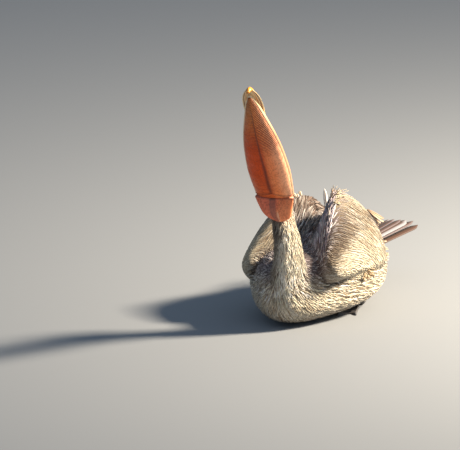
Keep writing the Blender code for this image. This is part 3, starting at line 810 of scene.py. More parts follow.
ramus_f = (1 - np.linspace(1.0, 0.0, 90) ** 1.6) * TIP_F
ramus_s = curve_at(LOWER_BILL_SECTIONS, ramus_f) - RAMUS_WIDTH * 0.52
ramus_s *= np.sqrt(np.clip(1 - (ramus_f / (TIP_F + 0.0002)) ** 40, 0, 1))
ramus_f = np.concatenate((ramus_f, ramus_f[-2::-1]))
ramus_s = np.concatenate((ramus_s, -ramus_s[-2::-1]))
ramus_t = cutting_edge(ramus_f) - EDGE_DEPTH - GAP - RAMUS_HEIGHT / 2
ahead_f, ahead_s = np.gradient(ramus_f), np.gradient(ramus_s)
out_f, out_s = unit(np.stack((ahead_s, -ahead_f), axis=-1)).T[:, :, None]
cos, sin = power_circle(24, 2.6)
reach = RAMUS_WIDTH / 2 * (cos - 0.22 * bell(sin, 0.3) * (cos > 0))
rod_rings = in_bill_frame(ramus_f[:, None] + out_f * reach, ramus_s[:, None] + out_s * reach,
                          ramus_t[:, None] + RAMUS_HEIGHT / 2 * sin)
rod = Finish("lower mandible horn", Specular_IOR_Level=0.4)
rod_grain = rod.noise(rod.stretched(rod.place(), GRAIN_STRETCH), 260.0, detail=5.0)
rod_colour = rod.layers(
    srgb(232, 158, 112), (srgb(240, 206, 158), rod.mark("under")),
    (srgb(186, 96, 58), rod_grain.eased(0.5, 0.75) * 0.5),
    (srgb(244, 222, 190), rod.mark("across").eased(0.70, 0.86)))
rod_material = rod.grained(rod_colour, rod_grain, 0.40, 0.60, 0.0003)
tube_piece("lower_mandible", rod_rings, rod_material, ["bill_lower"],
           {"across": 0.55 + 0.33 * np.abs(sin) ** 2,
            "under": eased(ramus_f, 0.22, 0.34)[:, None]})

# %% [markdown]
# ## Pouch
# The pouch is bare skin hung between the rami like a hammock, deep at the jaw and shallow at
# the tip. It is a thin double sheet worked out on a grid: f forward, and an angle that runs
# from the left rim under the bill to the right rim. Cords and wrinkles are small heights
# added outwards: a cord down the middle that parts into two at the jaw, the fold where the
# pouch meets the throat, a keel towards the tip and an uneven slack all over. The fine pleats
# across its front half, where it is gathered, are dark bands in its finish: painted shade in
# their grooves. Its left side, which faces the lamp, is paler as painted light, and the
# keel's right face near the tip is darker as painted shade.

# %% Pouch
POUCH_LENGTH, POUCH_SAG, CREASE_SAG, POUCH_WALL = 0.3985, 0.0205, 0.004, 0.0014
RIM_INSET, RIM_OVERLAP, POUCH_SQUARENESS = 0.0026, 0.0012, 2.1


def ripple(places, lengths, seed):
    """Smooth random height from -1 to 1: a mean of sine waves in random directions."""
    draw = np.random.default_rng(seed)
    total = 0.0
    for length in lengths:
        heading = unit(draw.normal(size=places.shape[-1]))
        phase = draw.uniform(0, 2 * math.pi)
        total = total + np.sin(2 * math.pi * (places @ heading) / length + phase)
    return total / len(lengths)


rows, columns = 260, 121
f = np.linspace(0.0, 1.0, rows)[:, None] ** 0.92 * POUCH_LENGTH
angle = np.linspace(0.0, math.pi, columns)
cos, sin = np.cos(angle), np.sin(angle)
power = 2.0 / POUCH_SQUARENESS
across = np.sign(cos) * np.abs(cos) ** power
drop = np.abs(sin) ** power
half_width = curve_at(LOWER_BILL_SECTIONS, f) - RIM_INSET
sag = CREASE_SAG + (POUCH_SAG - CREASE_SAG) * np.sin(np.clip(f / 0.09, 0, 1) * math.pi / 2)
sag = sag * np.clip((1.05 * POUCH_LENGTH - f) / 0.23, 0, 1) ** 0.8
rim = cutting_edge(f) - EDGE_DEPTH - RAMUS_HEIGHT + RIM_OVERLAP

middle_line = 0.030 * np.sin(f * 17.0)
fork = 1 - eased(f, 0.028, 0.040)
cord_width = 0.046 + 0.060 * eased(f, 0.26, 0.04)
cord = bell(across - middle_line, cord_width) * (1 - fork) * eased(f, 0.39, 0.33)
branch = bell(f - 0.034 + 0.027 * np.clip(-across, 0, 1), 0.0018) * eased(-across, 0.0, 0.06)
cord_side = bell(across + 0.16 + (f - 0.05) * 3.2, 0.020) * bell(f - 0.09, 0.045) * 0.5
crease_f = 0.005 + 0.026 * np.clip(1 - np.abs(across - 0.02), 0, 1) ** 1.5
crease = bell(f - crease_f, 0.0022)
keel = (1 - np.abs(across)) ** 1.4 * eased(f, 0.16, 0.33) * eased(f, 0.398, 0.37)
grid = np.stack(np.broadcast_arrays(f, half_width * angle), axis=-1)
slack = ripple(grid, (0.031, 0.022, 0.047, 0.018), 3)
fine = ripple(grid, (0.0061, 0.0048, 0.0073, 0.0042), 5)
lift = (0.0013 * cord + 0.0007 * cord_side + 0.0016 * crease + 0.0007 * branch
        + 0.0006 * slack + 0.00014 * fine + 0.0042 * keel)
lift = lift * eased(drop, 0.0, 0.25)
outer_skin = in_bill_frame(f, (half_width + lift * np.abs(cos)) * across,
                           rim - (rim + sag + lift * sin) * drop)
inner_skin = in_bill_frame(f, (half_width - POUCH_WALL) * across,
                           rim - (rim + sag - POUCH_WALL) * drop * (1 - 0.02))
pouch_rings = np.concatenate((outer_skin, inner_skin[:, ::-1]), axis=1)
# dark lines of the cords, their branch and the crease; the last term is painted shade on the
# keel's right face near the tip
edge = np.clip(cord + 0.5 * cord_side + 0.9 * crease + 0.7 * branch
               + 0.45 * eased(f, 0.29, 0.38) * eased(-across, -0.10, 0.35), 0, 1)
pouch_marks = {"cord": np.concatenate((edge, 0 * edge), axis=1),
               "across": np.concatenate((across, across[::-1])), "along": f / POUCH_LENGTH}
print("pouch sags by", round(1000 * sag.max(), 1), "mm")


# %% Pouch finish
def pouch_finish(name, jaw_colour, middle_colour, tip_colour, cord_colour):
    """Thin bare skin: three colours along it, paler to its left as painted light, dark pleats
    on its front half as painted shade in their grooves, patches, small veins, cords, and pores
    in its height."""
    skin = Finish(name, Specular_IOR_Level=0.22)
    place, along, across = skin.place(), skin.mark("along"), skin.mark("across")
    slant = skin.add("CombineXYZ", None, {"X": along - across * 0.03})
    pleat = skin.add("TexWave", {"wave_type": "BANDS", "bands_direction": "X"},
                     {"Vector": slant, "Scale": 23.0, "Distortion": 0.5, "Detail": 1.0})
    pleat = pleat.eased(0.30, 0.70) * along.eased(0.42, 0.60) * across.eased(-0.5, 0.2, 0.5, 1)
    patch = skin.noise(place, 34.0, detail=4.0)
    veins = skin.noise(skin.stretched(place, (1.0, 0.6, 0.6)), 120.0, detail=4.0)
    pores = skin.noise(place, 900.0, detail=2.0)
    colour = skin.layers(
        jaw_colour, (middle_colour, along.eased(0.0, 0.35)),
        (tip_colour, along.eased(0.50, 0.95)),
        # paler towards the bird's left, the side the lamp lights: painted light
        (srgb(255, 158, 100), across.eased(0.0, 0.30) * 0.62),
        (srgb(250, 200, 164), across.eased(0.35, 1.0) * 0.62),
        # dark pleat bands: painted shade in the pleats' grooves
        (srgb(118, 40, 20), pleat * 0.9),
        (srgb(164, 58, 30), patch.eased(0.48, 0.72) * 0.28),
        (srgb(128, 38, 26), abs(veins - 0.5).eased(0.0, 0.035, 0.5, 0)),
        (srgb(210, 116, 70), pores.eased(0.55, 0.75) * 0.18),
        # the cord mark: dark cords, and on the pouch painted shade on the keel's right face
        (cord_colour, skin.mark("cord") * 0.78))
    return skin.finish(colour, roughness=patch.eased(0.3, 0.7, 0.36, 0.52),
                       height=pores + veins * 0.8 + pleat * -1.6, distance=0.00035)


pouch_material = pouch_finish("pouch skin", srgb(222, 106, 54), srgb(216, 80, 22),
                              srgb(232, 146, 76), srgb(84, 48, 40))
tube_piece("pouch_skin", pouch_rings, pouch_material, ["pouch"], pouch_marks)

# %% [markdown]
# ## Throat
# Below the jaw the bare skin narrows to a point on the neck. It is drawn tight over the
# windpipe, which shows as a soft grey band down its middle with a painted shine beside it,
# and small folds run down to the point. Its left side, which faces the lamp, is paler as
# painted light.

# %% Throat
THROAT_SECTIONS = ((0.0015, -0.0090, 0.3465, 0.0490, 0.005, 50.0),
                   (0.0040, -0.0050, 0.3260, 0.0435, 0.011, 72.0),
                   (0.0070, -0.0010, 0.3050, 0.0360, 0.012, 84.0),
                   (0.0105, 0.0030, 0.2920, 0.0260, 0.010, 90.0),
                   (0.0125, 0.0070, 0.2835, 0.0090, 0.007, 90.0))
THROAT_DEPTH = 0.022
rows = 90
x, back, z, half_width, sag, pitch = curve_through(THROAT_SECTIONS, rows).T[:, :, None]
down_share, front_share = np.cos(np.radians(pitch)), np.sin(np.radians(pitch))
cos, sin = power_circle(112, 2.1)
way = np.linspace(0.0, 1.0, rows)[:, None]
front = sin > 0
pipe = bell(cos + 0.08, 0.22) * front
folds = (bell(np.abs(cos) - 0.38 - 0.1 * way, 0.06) + bell(np.abs(cos) - 0.72, 0.05)) * front
skin_grid = np.stack(np.broadcast_arrays(half_width * cos, z), axis=-1)
lift = 0.0016 * pipe - 0.0009 * folds + 0.0005 * ripple(skin_grid, (0.012, 0.017, 0.009), 9)
out = np.where(front, sag * sin + lift * sin, THROAT_DEPTH * sin)
throat_rings = np.stack((x + half_width * cos * LEFT[0],
                         back + half_width * cos * LEFT[1] - out * front_share,
                         z - out * down_share), axis=-1)
band, half_band = -0.05 - 0.14 * way, 0.20 + 0.08 * way
across_band = (cos - band) / half_band
band_edge = bell(across_band + 0.8, 0.25)
throat_marks = {"cord": (0.75 * eased(1 - np.abs(across_band), 0.0, 0.35) + 0.3 * band_edge
                         + 0.2 * folds) * front + 0.5 * bell(way, 0.03),
                # across: paler on the bird's left as painted light, and a painted highlight
                # line beside the windpipe's band
                "across": (np.clip(0.8 * cos, -1, 0.4) + 1.2 * bell(across_band - 1.15, 0.30)
                           * eased(way, 0.25, 0.55)),
                "along": 0.0}
throat_material = pouch_finish("throat skin", *[srgb(242, 130, 98)] * 3, srgb(130, 96, 86))
tube_piece("throat_skin", throat_rings, throat_material, ["throat"],
           throat_marks)

# %% [markdown]
# ## How a feather is made
# A feather is a shaft with a vane on each side. As a mesh it is a flat tube: at each station
# along it a small ring is set square to it, wide across and thin up, with a ridge for the
# shaft, and a point closes each end. All feathers of a tract are worked out together: their
# paths, sides and widths are arrays with one row for each feather. The small ones have five
# rings of three points; the tail's and those that stand out have more and finer rings.

# %% Feathers from arrays
PATCH, STATIONS = 0.003, 5
TUFT_RING = np.array(((-1.0, 0.0), (0.0, 1.0), (1.0, 0.0)))
QUILL_RING = np.array(((-1.0, 0.0), (-0.62, 0.30), (-0.30, 0.42), (-0.07, 0.45), (0.0, 1.0),
                       (0.07, 0.45), (0.30, 0.42), (0.62, 0.30), (1.0, 0.0), (0.5, -0.15),
                       (0.0, -0.45), (-0.5, -0.15)))


def vanes(path, facing, half_width, thickness, ring, camber, edge_shift=0.0):
    """Points of closed feathers along paths, with their upper side towards facing. At each
    station the ring's point (a, h) goes to centre + side a w + up (h thickness -
    camber a^2 w), where w is the half width."""
    ahead = unit(np.gradient(path, axis=1))
    side = unit(np.cross(ahead, facing))
    up = unit(np.cross(side, ahead))
    a, h = ring.T
    width = half_width[:, :, None] * (1 + edge_shift)
    height = thickness[:, :, None] * h - camber * a ** 2 * half_width[:, :, None]
    rings = (path[:, :, None] + side[:, :, None] * (a * width)[..., None]
             + up[:, :, None] * height[..., None])
    last_step = path[:, -1] - path[:, -2]
    ends = np.stack((path[:, 0] - 0.05 * last_step, path[:, -1] + 0.35 * last_step), axis=1)
    return np.concatenate((rings.reshape(len(path), -1, 3), ends), axis=1)


def feather_piece(name, points, stations, ring, tone, colour, chart, material,
                  replaces=()):
    """One object of many feathers. Each keeps its colour and tone; across and along tell
    the finish where a point is on its own feather; its patch of the bake map lies at its
    root's place on the chart of the skin."""
    count, per = points.shape[:2]
    around = len(ring)
    quads, triangles = tube_faces(stations, around)
    if volume_of(points[0] - points[0].mean(axis=0), quads, triangles) < 0:
        quads, triangles = quads[:, ::-1], triangles[:, ::-1]
    shift = (np.arange(count) * per)[:, None, None]
    a = np.concatenate((np.tile(ring[:, 0], stations), (0.0, 0.0)))
    t = np.concatenate((np.repeat(np.linspace(0, 1, stations), around), (-0.08, 1.08)))
    t_on_map = t + 0.05 * (1 - np.abs(a))
    bake = np.stack(((a[None] * 0.5 * PATCH + chart[:, :1]),
                     (t_on_map[None] * PATCH + chart[:, 1:])), axis=-1)
    bright = 0.25 + 0.75 * eased(colour.mean(axis=1), 0.12, 0.50)
    marks = {"across": np.tile(a, count), "along": np.tile(t, count),
             "tone": np.repeat(tone, per), "bright": np.repeat(bright, per),
             "coat": np.repeat(colour, per, axis=0)}
    new_piece(name, points.reshape(-1, 3), (quads[None] + shift).reshape(-1, 4),
              (triangles[None] + shift).reshape(-1, 3), material, replaces, marks,
              bake.reshape(-1, 2))


def feather_finish(name, shaft_share, pale_share, roughness, web_share=0.0, paleness=0.5):
    """Keratin barbs: the place's colour, a dark shaft, pale edges and tip, painted shade at
    the root where the feathers above cover it, for some a dark web on one side of the shaft,
    and fine slanting barbs in the height."""
    vane = Finish(name, Specular_IOR_Level=0.25, Sheen_Weight=0.08)
    across, along, tone = vane.mark("across"), vane.mark("along"), vane.mark("tone")
    coat, aside = vane.mark("coat", colour=True), abs(across)
    pale = vane.blend(coat, srgb(250, 246, 240), vane.mark("bright") * paleness)
    speckle = vane.noise(vane.place(), 60.0, detail=4.0)
    shaft = aside.eased(0.16, 0.50, 1.0, 0.0) * along.eased(0.90, 1.0, 1.0, 0.3)
    colour = vane.layers(
        coat, (pale, tone.eased(0.40, 0.0) * 0.85),
        ((0.40, 0.30, 0.23, 1), tone.eased(0.45, 1.0) * 0.70, "MULTIPLY"),
        ((0.62, 0.52, 0.44, 1), speckle.eased(0.5, 0.72) * 0.4, "MULTIPLY"),
        (pale, aside.eased(0.45, 1.0) * pale_share),
        (srgb(70, 46, 32), shaft * shaft_share),
        (srgb(44, 28, 24), (across * -1.0).eased(0.02, 0.20) * web_share),
        # painted shade at the root, where the feathers above cover it
        ((0.30, 0.26, 0.24, 1), along.eased(0.0, 0.40, 0.8, 0.0), "MULTIPLY"))
    barbs = vane.add("TexWave", {"wave_type": "BANDS", "bands_direction": "X"},
                     {"Vector": vane.add("CombineXYZ", None,
                                         {"X": along * 9.0 - aside * 3.0, "Y": tone * 7.0}),
                      "Scale": 3.0, "Distortion": 1.2, "Detail": 1.0})
    return vane.finish(colour, roughness=speckle.eased(0.2, 0.8, roughness - 0.08, roughness),
                       height=barbs, distance=0.0002, strength=0.35)


print("a small feather has", 2 * len(TUFT_RING) * STATIONS, "triangles")

# %% [markdown]
# ## Where feathers stand
# Roots are spread over the skin the way rain drops first wet a stone: many places are drawn
# at random, by area, and taken in turn; each one taken clears the places too near to it. What
# remains is even without being a grid. From its root a feather follows the skin: half its
# length on, the nearest point of the skin is found, and again at its tip, so it lies round
# the curve of the body, and its lift only parts it from the feathers beneath.


# %% Roots and lie
CROWD, ROOT_DEPTH = 9.0, 0.0006


def tree_of(places):
    """A tree that finds the places near a point, by their numbers."""
    tree = KDTree(len(places))
    for number, place in enumerate(places.tolist()):
        tree.insert(place, number)
    tree.balance()
    return tree


def triangle_areas(corners):
    """Areas of triangles of the skin: half the length of the cross product of two sides."""
    a, b, c = (skin_points[corners[:, k]] for k in range(3))
    return np.linalg.norm(np.cross(b - a, c - a), axis=1) / 2


def scattered(chosen, gap_at, seed):
    """Roots on the chosen triangles: places, normals and the tracts' shares there."""
    draw = np.random.default_rng(seed)
    corners = skin_triangles[chosen]
    gaps = gap_at(sum(skin_points[corners[:, k]] for k in range(3)) / 3)
    wanted = triangle_areas(corners) / gaps ** 2 * CROWD
    picked = draw.choice(len(corners), size=int(wanted.sum()), p=wanted / wanted.sum())
    u, v = draw.random((2, len(picked)))
    over = u + v > 1
    u, v = np.where(over, 1 - u, u), np.where(over, 1 - v, v)
    weight = np.stack((1 - u - v, u, v), axis=-1)[..., None]

    def spread(values):
        return (values[corners[picked]] * weight).sum(axis=1)

    places = spread(skin_points)
    tree, own_gap = tree_of(places), gap_at(places)
    free, kept = np.ones(len(places), bool), []
    for number, place in enumerate(places):
        if free[number]:
            kept.append(number)
            for _, other, _ in tree.find_range(place, own_gap[number]):
                free[other] = False
    return places[kept], unit(spread(skin_normals))[kept], spread(skin_share)[kept]


def along_skin(direction, normals):
    """The part of each direction that runs along the skin, to length one."""
    return unit(direction - (direction * normals).sum(axis=1, keepdims=True) * normals)


def draped(places, normals, lie, length, lift):
    """Paths over the skin, and their upward directions: a parabola through the root, the
    skin's point half a length on and the one at the tip, raised by lift t^1.2."""
    middle, middle_normal, _, _ = nearest_on(cover_tree, places + lie * length[:, None] / 2)
    onward = along_skin(lie, middle_normal)
    tip, tip_normal, _, _ = nearest_on(cover_tree, middle + onward * length[:, None] / 2)
    t = np.linspace(0, 1, STATIONS)[None, :, None]
    path = (places[:, None] * (2 * t - 1) * (t - 1) + middle[:, None] * 4 * t * (1 - t)
            + tip[:, None] * t * (2 * t - 1))
    up = unit(normals[:, None] * (1 - t) + tip_normal[:, None] * t)
    return path + up * (lift[:, None, None] * t ** 1.2 - ROOT_DEPTH), up


def turned(lie, normals, angle):
    """Each lie turned about its normal by its angle."""
    return (lie * np.cos(angle)[:, None]
            + np.cross(normals, lie) * np.sin(angle)[:, None])


print("skin area", triangle_areas(skin_triangles).sum().round(3), "square metres")

# %% [markdown]
# ## The lie of the coat
# Feathers point the way water and wind run off: back from the breast, down the neck, back
# from the bill over the head. On the folded wing they start outwards across its front edge
# and turn back and down along its side, and the scapulars between the wings climb the slope.
# Each tract's lie is one direction in space, mixed by place and laid along the skin. Dark
# and pale feathers line up in streaks: a random number is drawn for each and then averaged
# with those of the feathers ahead of it and behind it, but not beside it.


# %% Lie by tract
def wing_lie(places, normals):
    """On the outer face, level round the wing and then dipping by up to 42 degrees towards
    the rear, and 14 more on the right wing; on the inner face, up the slope and over it to
    the rear. The distance out from the crest mixes them."""
    x, back, _ = places.T
    side, flat, top = np.sign(x), np.zeros(len(places)), normals[:, 2] ** 4
    level = unit(np.stack((side * (0.25 * top - normals[:, 1]),
                           side * normals[:, 0] + 0.6 * top, flat), axis=-1))
    fall = along_skin(np.tile((0.0, 0.0, -1.0), (len(places), 1)), normals)
    dip = np.radians(10 + 32 * eased(back, 0.11, 0.27) + np.where(x < 0, 14, 0))[:, None]
    outer = level * np.cos(dip) + fall * np.sin(dip)
    inner = np.stack((-side * 0.06, flat + 0.76, 0.80 - 1.20 * eased(back, 0.27, 0.38)),
                     axis=-1)
    share = outer_face(places)[:, None]
    return unit(inner) * (1 - share) + outer * share


def trunk_lie(places, normals):
    """Apart and down on the breast, straight back along the flanks."""
    x, back, _ = places.T
    return np.stack((12.0 * (x - 0.006) * (1 - eased(back, 0.05, 0.3)), 0.9 + 0 * x,
                     -1.00 + 0.85 * eased(back, 0.02, 0.14)), axis=-1)


def neck_lie(places, normals):
    """Down the neck, with the tips parting to both sides of its front."""
    spread = np.clip((places[:, 0] - 0.012) / 0.04, -1, 1) * 0.38
    forward = np.where(normals[:, 1] < 0, -0.10, 0.15)
    return np.stack((spread, forward, -np.ones(len(places))), axis=-1)


def head_lie(places, normals):
    """Back from the bill, and down over the nape and cheeks."""
    sink = 0.25 + 0.9 * eased(-from_bill_frame(places)[:, 0], 0.0, 0.07)
    return -FORWARD[None] - CROWNWARD[None] * sink[:, None]


LIE = {"head": head_lie, "neck": neck_lie, "trunk": trunk_lie, "wing": wing_lie,
       "scapular": wing_lie, "flight": wing_lie}


def lie_at(places, normals, share):
    """The mix of the tracts' lies by their shares, laid along the skin."""
    mixed = sum(unit(LIE[t](places, normals)) * share[:, [k]] for k, t in enumerate(TRACTS))
    return along_skin(mixed, normals)


def combed(places, lie, values, reach, half_width):
    """Values averaged along the lie: neighbours within reach count by how little they lie
    to the side, exp(-(side / half_width)^2). Brought back to mean 0 and spread 1."""
    tree, result = tree_of(places), np.empty(len(places))
    for number, place in enumerate(places):
        near = np.array([found[1] for found in tree.find_range(place, reach)])
        offset = places[near] - place
        ahead = offset @ lie[number]
        beside = (offset ** 2).sum(axis=1) - ahead ** 2
        weight = np.exp(-beside / half_width ** 2)
        result[number] = (values[near] * weight).sum() / weight.sum()
    return (result - result.mean()) / result.std()


print("lie of", len(LIE), "tracts")

# %% [markdown]
# ## The coat
# Each tract has its own size of feather, from eight millimetres on the face to sixty-six on
# the rear of the wing, growing along it. On the front edges of the wings, along their crests,
# in the folds beneath them and beside the neck the feathers are shorter and closer, because
# long ones can't follow a sharp turn. Roots that would stand in the bare skin of the bill,
# throat or eye are left out. The feathers are worn: their edges step in and out a little, and
# on the top of each wing they stand up in a ruffle.

# %% Coat sizes
# tract: gap, length and half width of a feather at the front, the same at the rear, lift,
# and how far its heading may stray
COAT_SIZES = {
    "head": ((0.0026, 0.0080, 0.0016), (0.0032, 0.0150, 0.0020), 0.0022, 0.25),
    "neck": ((0.0030, 0.0190, 0.0012), (0.0036, 0.0240, 0.0015), 0.0042, 0.22),
    "trunk": ((0.0045, 0.0230, 0.0019), (0.0066, 0.0440, 0.0028), 0.0032, 0.14),
    "wing": ((0.0046, 0.0290, 0.0019), (0.0080, 0.0600, 0.0036), 0.0022, 0.05),
    "scapular": ((0.0054, 0.0300, 0.0025), (0.0078, 0.0500, 0.0038), 0.0032, 0.09),
    "flight": ((0.0086, 0.0580, 0.0044), (0.0096, 0.0660, 0.0050), 0.0030, 0.06)}
GROWTH = {"head": (0.0, 0.075), "neck": (0.0, 0.2), "trunk": (0.02, 0.30),
          "wing": (0.08, 0.36), "scapular": (0.15, 0.40), "flight": (0.45, 0.65)}

bare_points, bare_triangles, _ = joined(["throat", "pouch", "bill_upper", "bill_lower",
                                         "eye_left", "eye_right"])
bare_tree = BVHTree.FromPolygons(bare_points.tolist(), bare_triangles.tolist())
WIDTH_ALONG = np.array((0.50, 0.92, 1.0, 0.82, 0.44))
THICK_ALONG = np.array((0.8, 1.0, 0.8, 0.55, 0.3))
LEAST_LIFT, LEAST_THICKNESS, BARE_MARGIN = 0.0017, 0.00015, 0.0030
STREAK_WIDTH, EDGE_WEAR, TUFT_CAMBER = 0.0022, 0.10, 0.12
# the share that feathers lose of each on a wing's crest, and at a front edge
CREST_LESS = {"gap": 0.35, "length": 0.30, "width": 0.35, "lift": 0.50}
FRONT_LESS = {"gap": 0.32, "length": 0.52, "width": 0.30, "lift": 0.60}


def grown(tract, places):
    """0 at the front of the tract and 1 where its feathers are largest."""
    along = {"head": -from_bill_frame(places)[:, 0], "neck": 0.30 - places[:, 2]}
    return eased(along.get(tract, places[:, 1]), *GROWTH[tract])


def sized(tract, places):
    """Gap, length and half width of the tract's feathers at each place."""
    front, rear = (np.array(sizes)[:, None] for sizes in COAT_SIZES[tract][:2])
    return front + (rear - front) * grown(tract, places)


def chart_of(tract, places):
    """Unwrap of the skin round the tract's own long axis, to the unit square: the angle
    round the axis across, and the way along it up."""
    x, back, up = places.T
    if tract == "head":
        f, s, t = from_bill_frame(places).T
        angle, way = np.arctan2(s, t - 0.042), (f + 0.09) / 0.19
    elif tract == "neck":
        angle, way = np.arctan2(x - 0.010, 0.055 - back), (up - 0.04) / 0.34
    elif tract == "trunk":
        angle, way = np.arctan2(x, 0.085 - up), back / 0.66
    else:
        angle, way = np.arctan2(np.abs(x) - 0.088, up - 0.16), (back - 0.06) / 0.64
    chart = np.stack((angle / (2 * math.pi) + 0.5, way), axis=-1)
    return 0.004 + np.clip(chart, 0, 1) * (0.992 - PATCH)


def near_crest(tract, places):
    """1 on the crest of a wing, falling to 0 fourteen millimetres away on both sides."""
    beyond = outer_face(places, 0.014)
    return 4 * beyond * (1 - beyond) * (tract in ("wing", "scapular"))


def in_front(tract, places):
    """1 on the breast above the water, less on the wings' front edges, and 0 behind."""
    x, back, up = places.T
    if tract == "trunk":
        return eased(up, 0.100, 0.130) * (1 - eased(back, 0.16, 0.28))
    return (tract in ("wing", "scapular")) * np.where(
        x < 0, 0.8 - 0.8 * eased(back, 0.13, 0.20), 0.7 - 0.7 * eased(back, 0.10, 0.16))


def lessened(what, small, short):
    """What is left of a size where feathers are small on a crest or short in front."""
    return (1 - CREST_LESS[what] * small) * (1 - FRONT_LESS[what] * short)


def mottling(tract, places):
    """How much single feathers differ in tone: most on the breast, less on the scapulars
    and at the neck's foot."""
    _, back, up = places.T
    return ((tract == "trunk") * eased(up, 0.080, 0.110) * (1 - eased(back, 0.2, 0.3))
            + 0.7 * (tract == "scapular")
            + 0.5 * (tract == "neck") * (1 - eased(up, 0.14, 0.20)))


print("feathers are", [f"{1000 * sizes[0][1]:.0f} to {1000 * sizes[1][1]:.0f} mm long on "
                       + tract for tract, sizes in COAT_SIZES.items()])


# %% Feathers of a tract
def coat_piece(name, tract, side, material, seed):
    """Scatters, drapes and builds the feathers of one tract on one side of the bird."""
    _, _, lift, stray = COAT_SIZES[tract]
    on_wing, on_neck = tract == "wing", tract == "neck"
    chosen = skin_tract[skin_triangles[:, 0]] == TRACTS.index(tract)
    if side:
        chosen &= np.sign(skin_points[skin_triangles].mean(axis=1)[:, 0]) == side

    def gap_at(places):
        return sized(tract, places)[0] * lessened("gap", near_crest(tract, places),
                                                  in_front(tract, places))

    places, normals, share = scattered(np.flatnonzero(chosen), gap_at, seed)
    keep = nearest_on(bare_tree, places)[3] > BARE_MARGIN + 0.0005 * (tract == "head")
    places, normals, share = places[keep], normals[keep], share[keep]
    x, back, up = places.T
    count, draw = len(places), np.random.default_rng(seed + 1)
    lie = lie_at(places, normals, share)
    lie = turned(lie, normals, draw.normal(0, stray, count))
    small = near_crest(tract, places)
    short = np.maximum(in_front(tract, places), 0.8 * fold_at(places, share))
    short = np.maximum(short, on_neck * beside_neck(places, normals))
    far = (x < 0) * on_wing
    fine = 1 - far * (0.25 + 0.10 * (1 - eased(back, 0.16, 0.26)))
    ruffle = 0.8 * eased(up, 0.245, 0.31) * (tract in ("wing", "scapular"))
    _, length, half_width = sized(tract, places)
    length = length * draw.uniform(0.8, 1.2, count) * lessened("length", small, short)
    half_width = half_width * draw.uniform(0.85, 1.2, count) * fine
    half_width = (half_width * lessened("width", small, short))[:, None]
    raised = lift * draw.uniform(0.7, 1.3, count) * (1 + ruffle * draw.random(count))
    raised = raised * fine ** 2 * (1 - 0.2 * on_wing) * lessened("lift", small, short)
    raised = np.maximum(raised, LEAST_LIFT)
    path, above = draped(places, normals, lie, length, raised)
    worn = draw.normal(0, EDGE_WEAR, (count, STATIONS, 3))
    thick = 0.10 * half_width * THICK_ALONG + LEAST_THICKNESS
    points = vanes(path, above, half_width * WIDTH_ALONG, thick, TUFT_RING, TUFT_CAMBER, worn)
    streak = combed(places, lie, draw.normal(size=count), length.mean() * 0.6, STREAK_WIDTH)
    calm = 0.52 - 0.38 * on_wing * np.maximum(eased(past_crest(places), 0.025, 0.075),
                                              eased(up, 0.24, 0.30))
    calm = (calm - 0.24 * (on_neck or tract == "head")) * (1 + 0.2 * far)
    mottled = mottling(tract, places)
    tone = np.clip(0.42 + calm * streak, 0, 1)
    tone = np.clip(tone + mottled * draw.normal(0, 0.35, count), 0, 1)
    bright = np.exp((0.08 + 0.80 * mottled) * draw.normal(size=count))[:, None]
    feather_piece(name, points, STATIONS, TUFT_RING, tone,
                  np.clip(markings_and_shade(places, normals, share) * bright, 0, 1),
                  chart_of(tract, places), material)


# %% Coat by tract
covert_finish = feather_finish("covert feathers", 0.82, 0.75, 0.72)
scapular_finish = feather_finish("scapular feathers", 0.70, 0.30, 0.72, paleness=0.75)
neck_finish = feather_finish("neck feathers", 0.35, 0.80, 0.78, paleness=0.75)
quill_finish = feather_finish("flight feathers", 0.85, 0.60, 0.62)

coat_piece("coat_trunk", "trunk", 0, covert_finish, 11)
coat_piece("coat_wing_left", "wing", 1, covert_finish, 21)
coat_piece("coat_wing_right", "wing", -1, covert_finish, 31)
coat_piece("coat_scapulars_left", "scapular", 1, scapular_finish, 41)
coat_piece("coat_scapulars_right", "scapular", -1, scapular_finish, 51)
coat_piece("coat_flight_left", "flight", 1, quill_finish, 61)
coat_piece("coat_flight_right", "flight", -1, quill_finish, 71)
coat_piece("coat_neck", "neck", 0, neck_finish, 81)
coat_piece("coat_head", "head", 0, neck_finish, 91)

# %% [markdown]
# ## Feathers that stand out
# A few feathers don't lie with the rest: the ruffled crests of both wings, the long tertials
# whose tips run past the rump, one white feather that stands between the wings, and ruffles
# at the lower edge and the rear of the left wing. Each group is a cloud of roots round one
# spot; a feather leaves its root along the group's heading and bends towards the second
# direction with the square of the way along it.

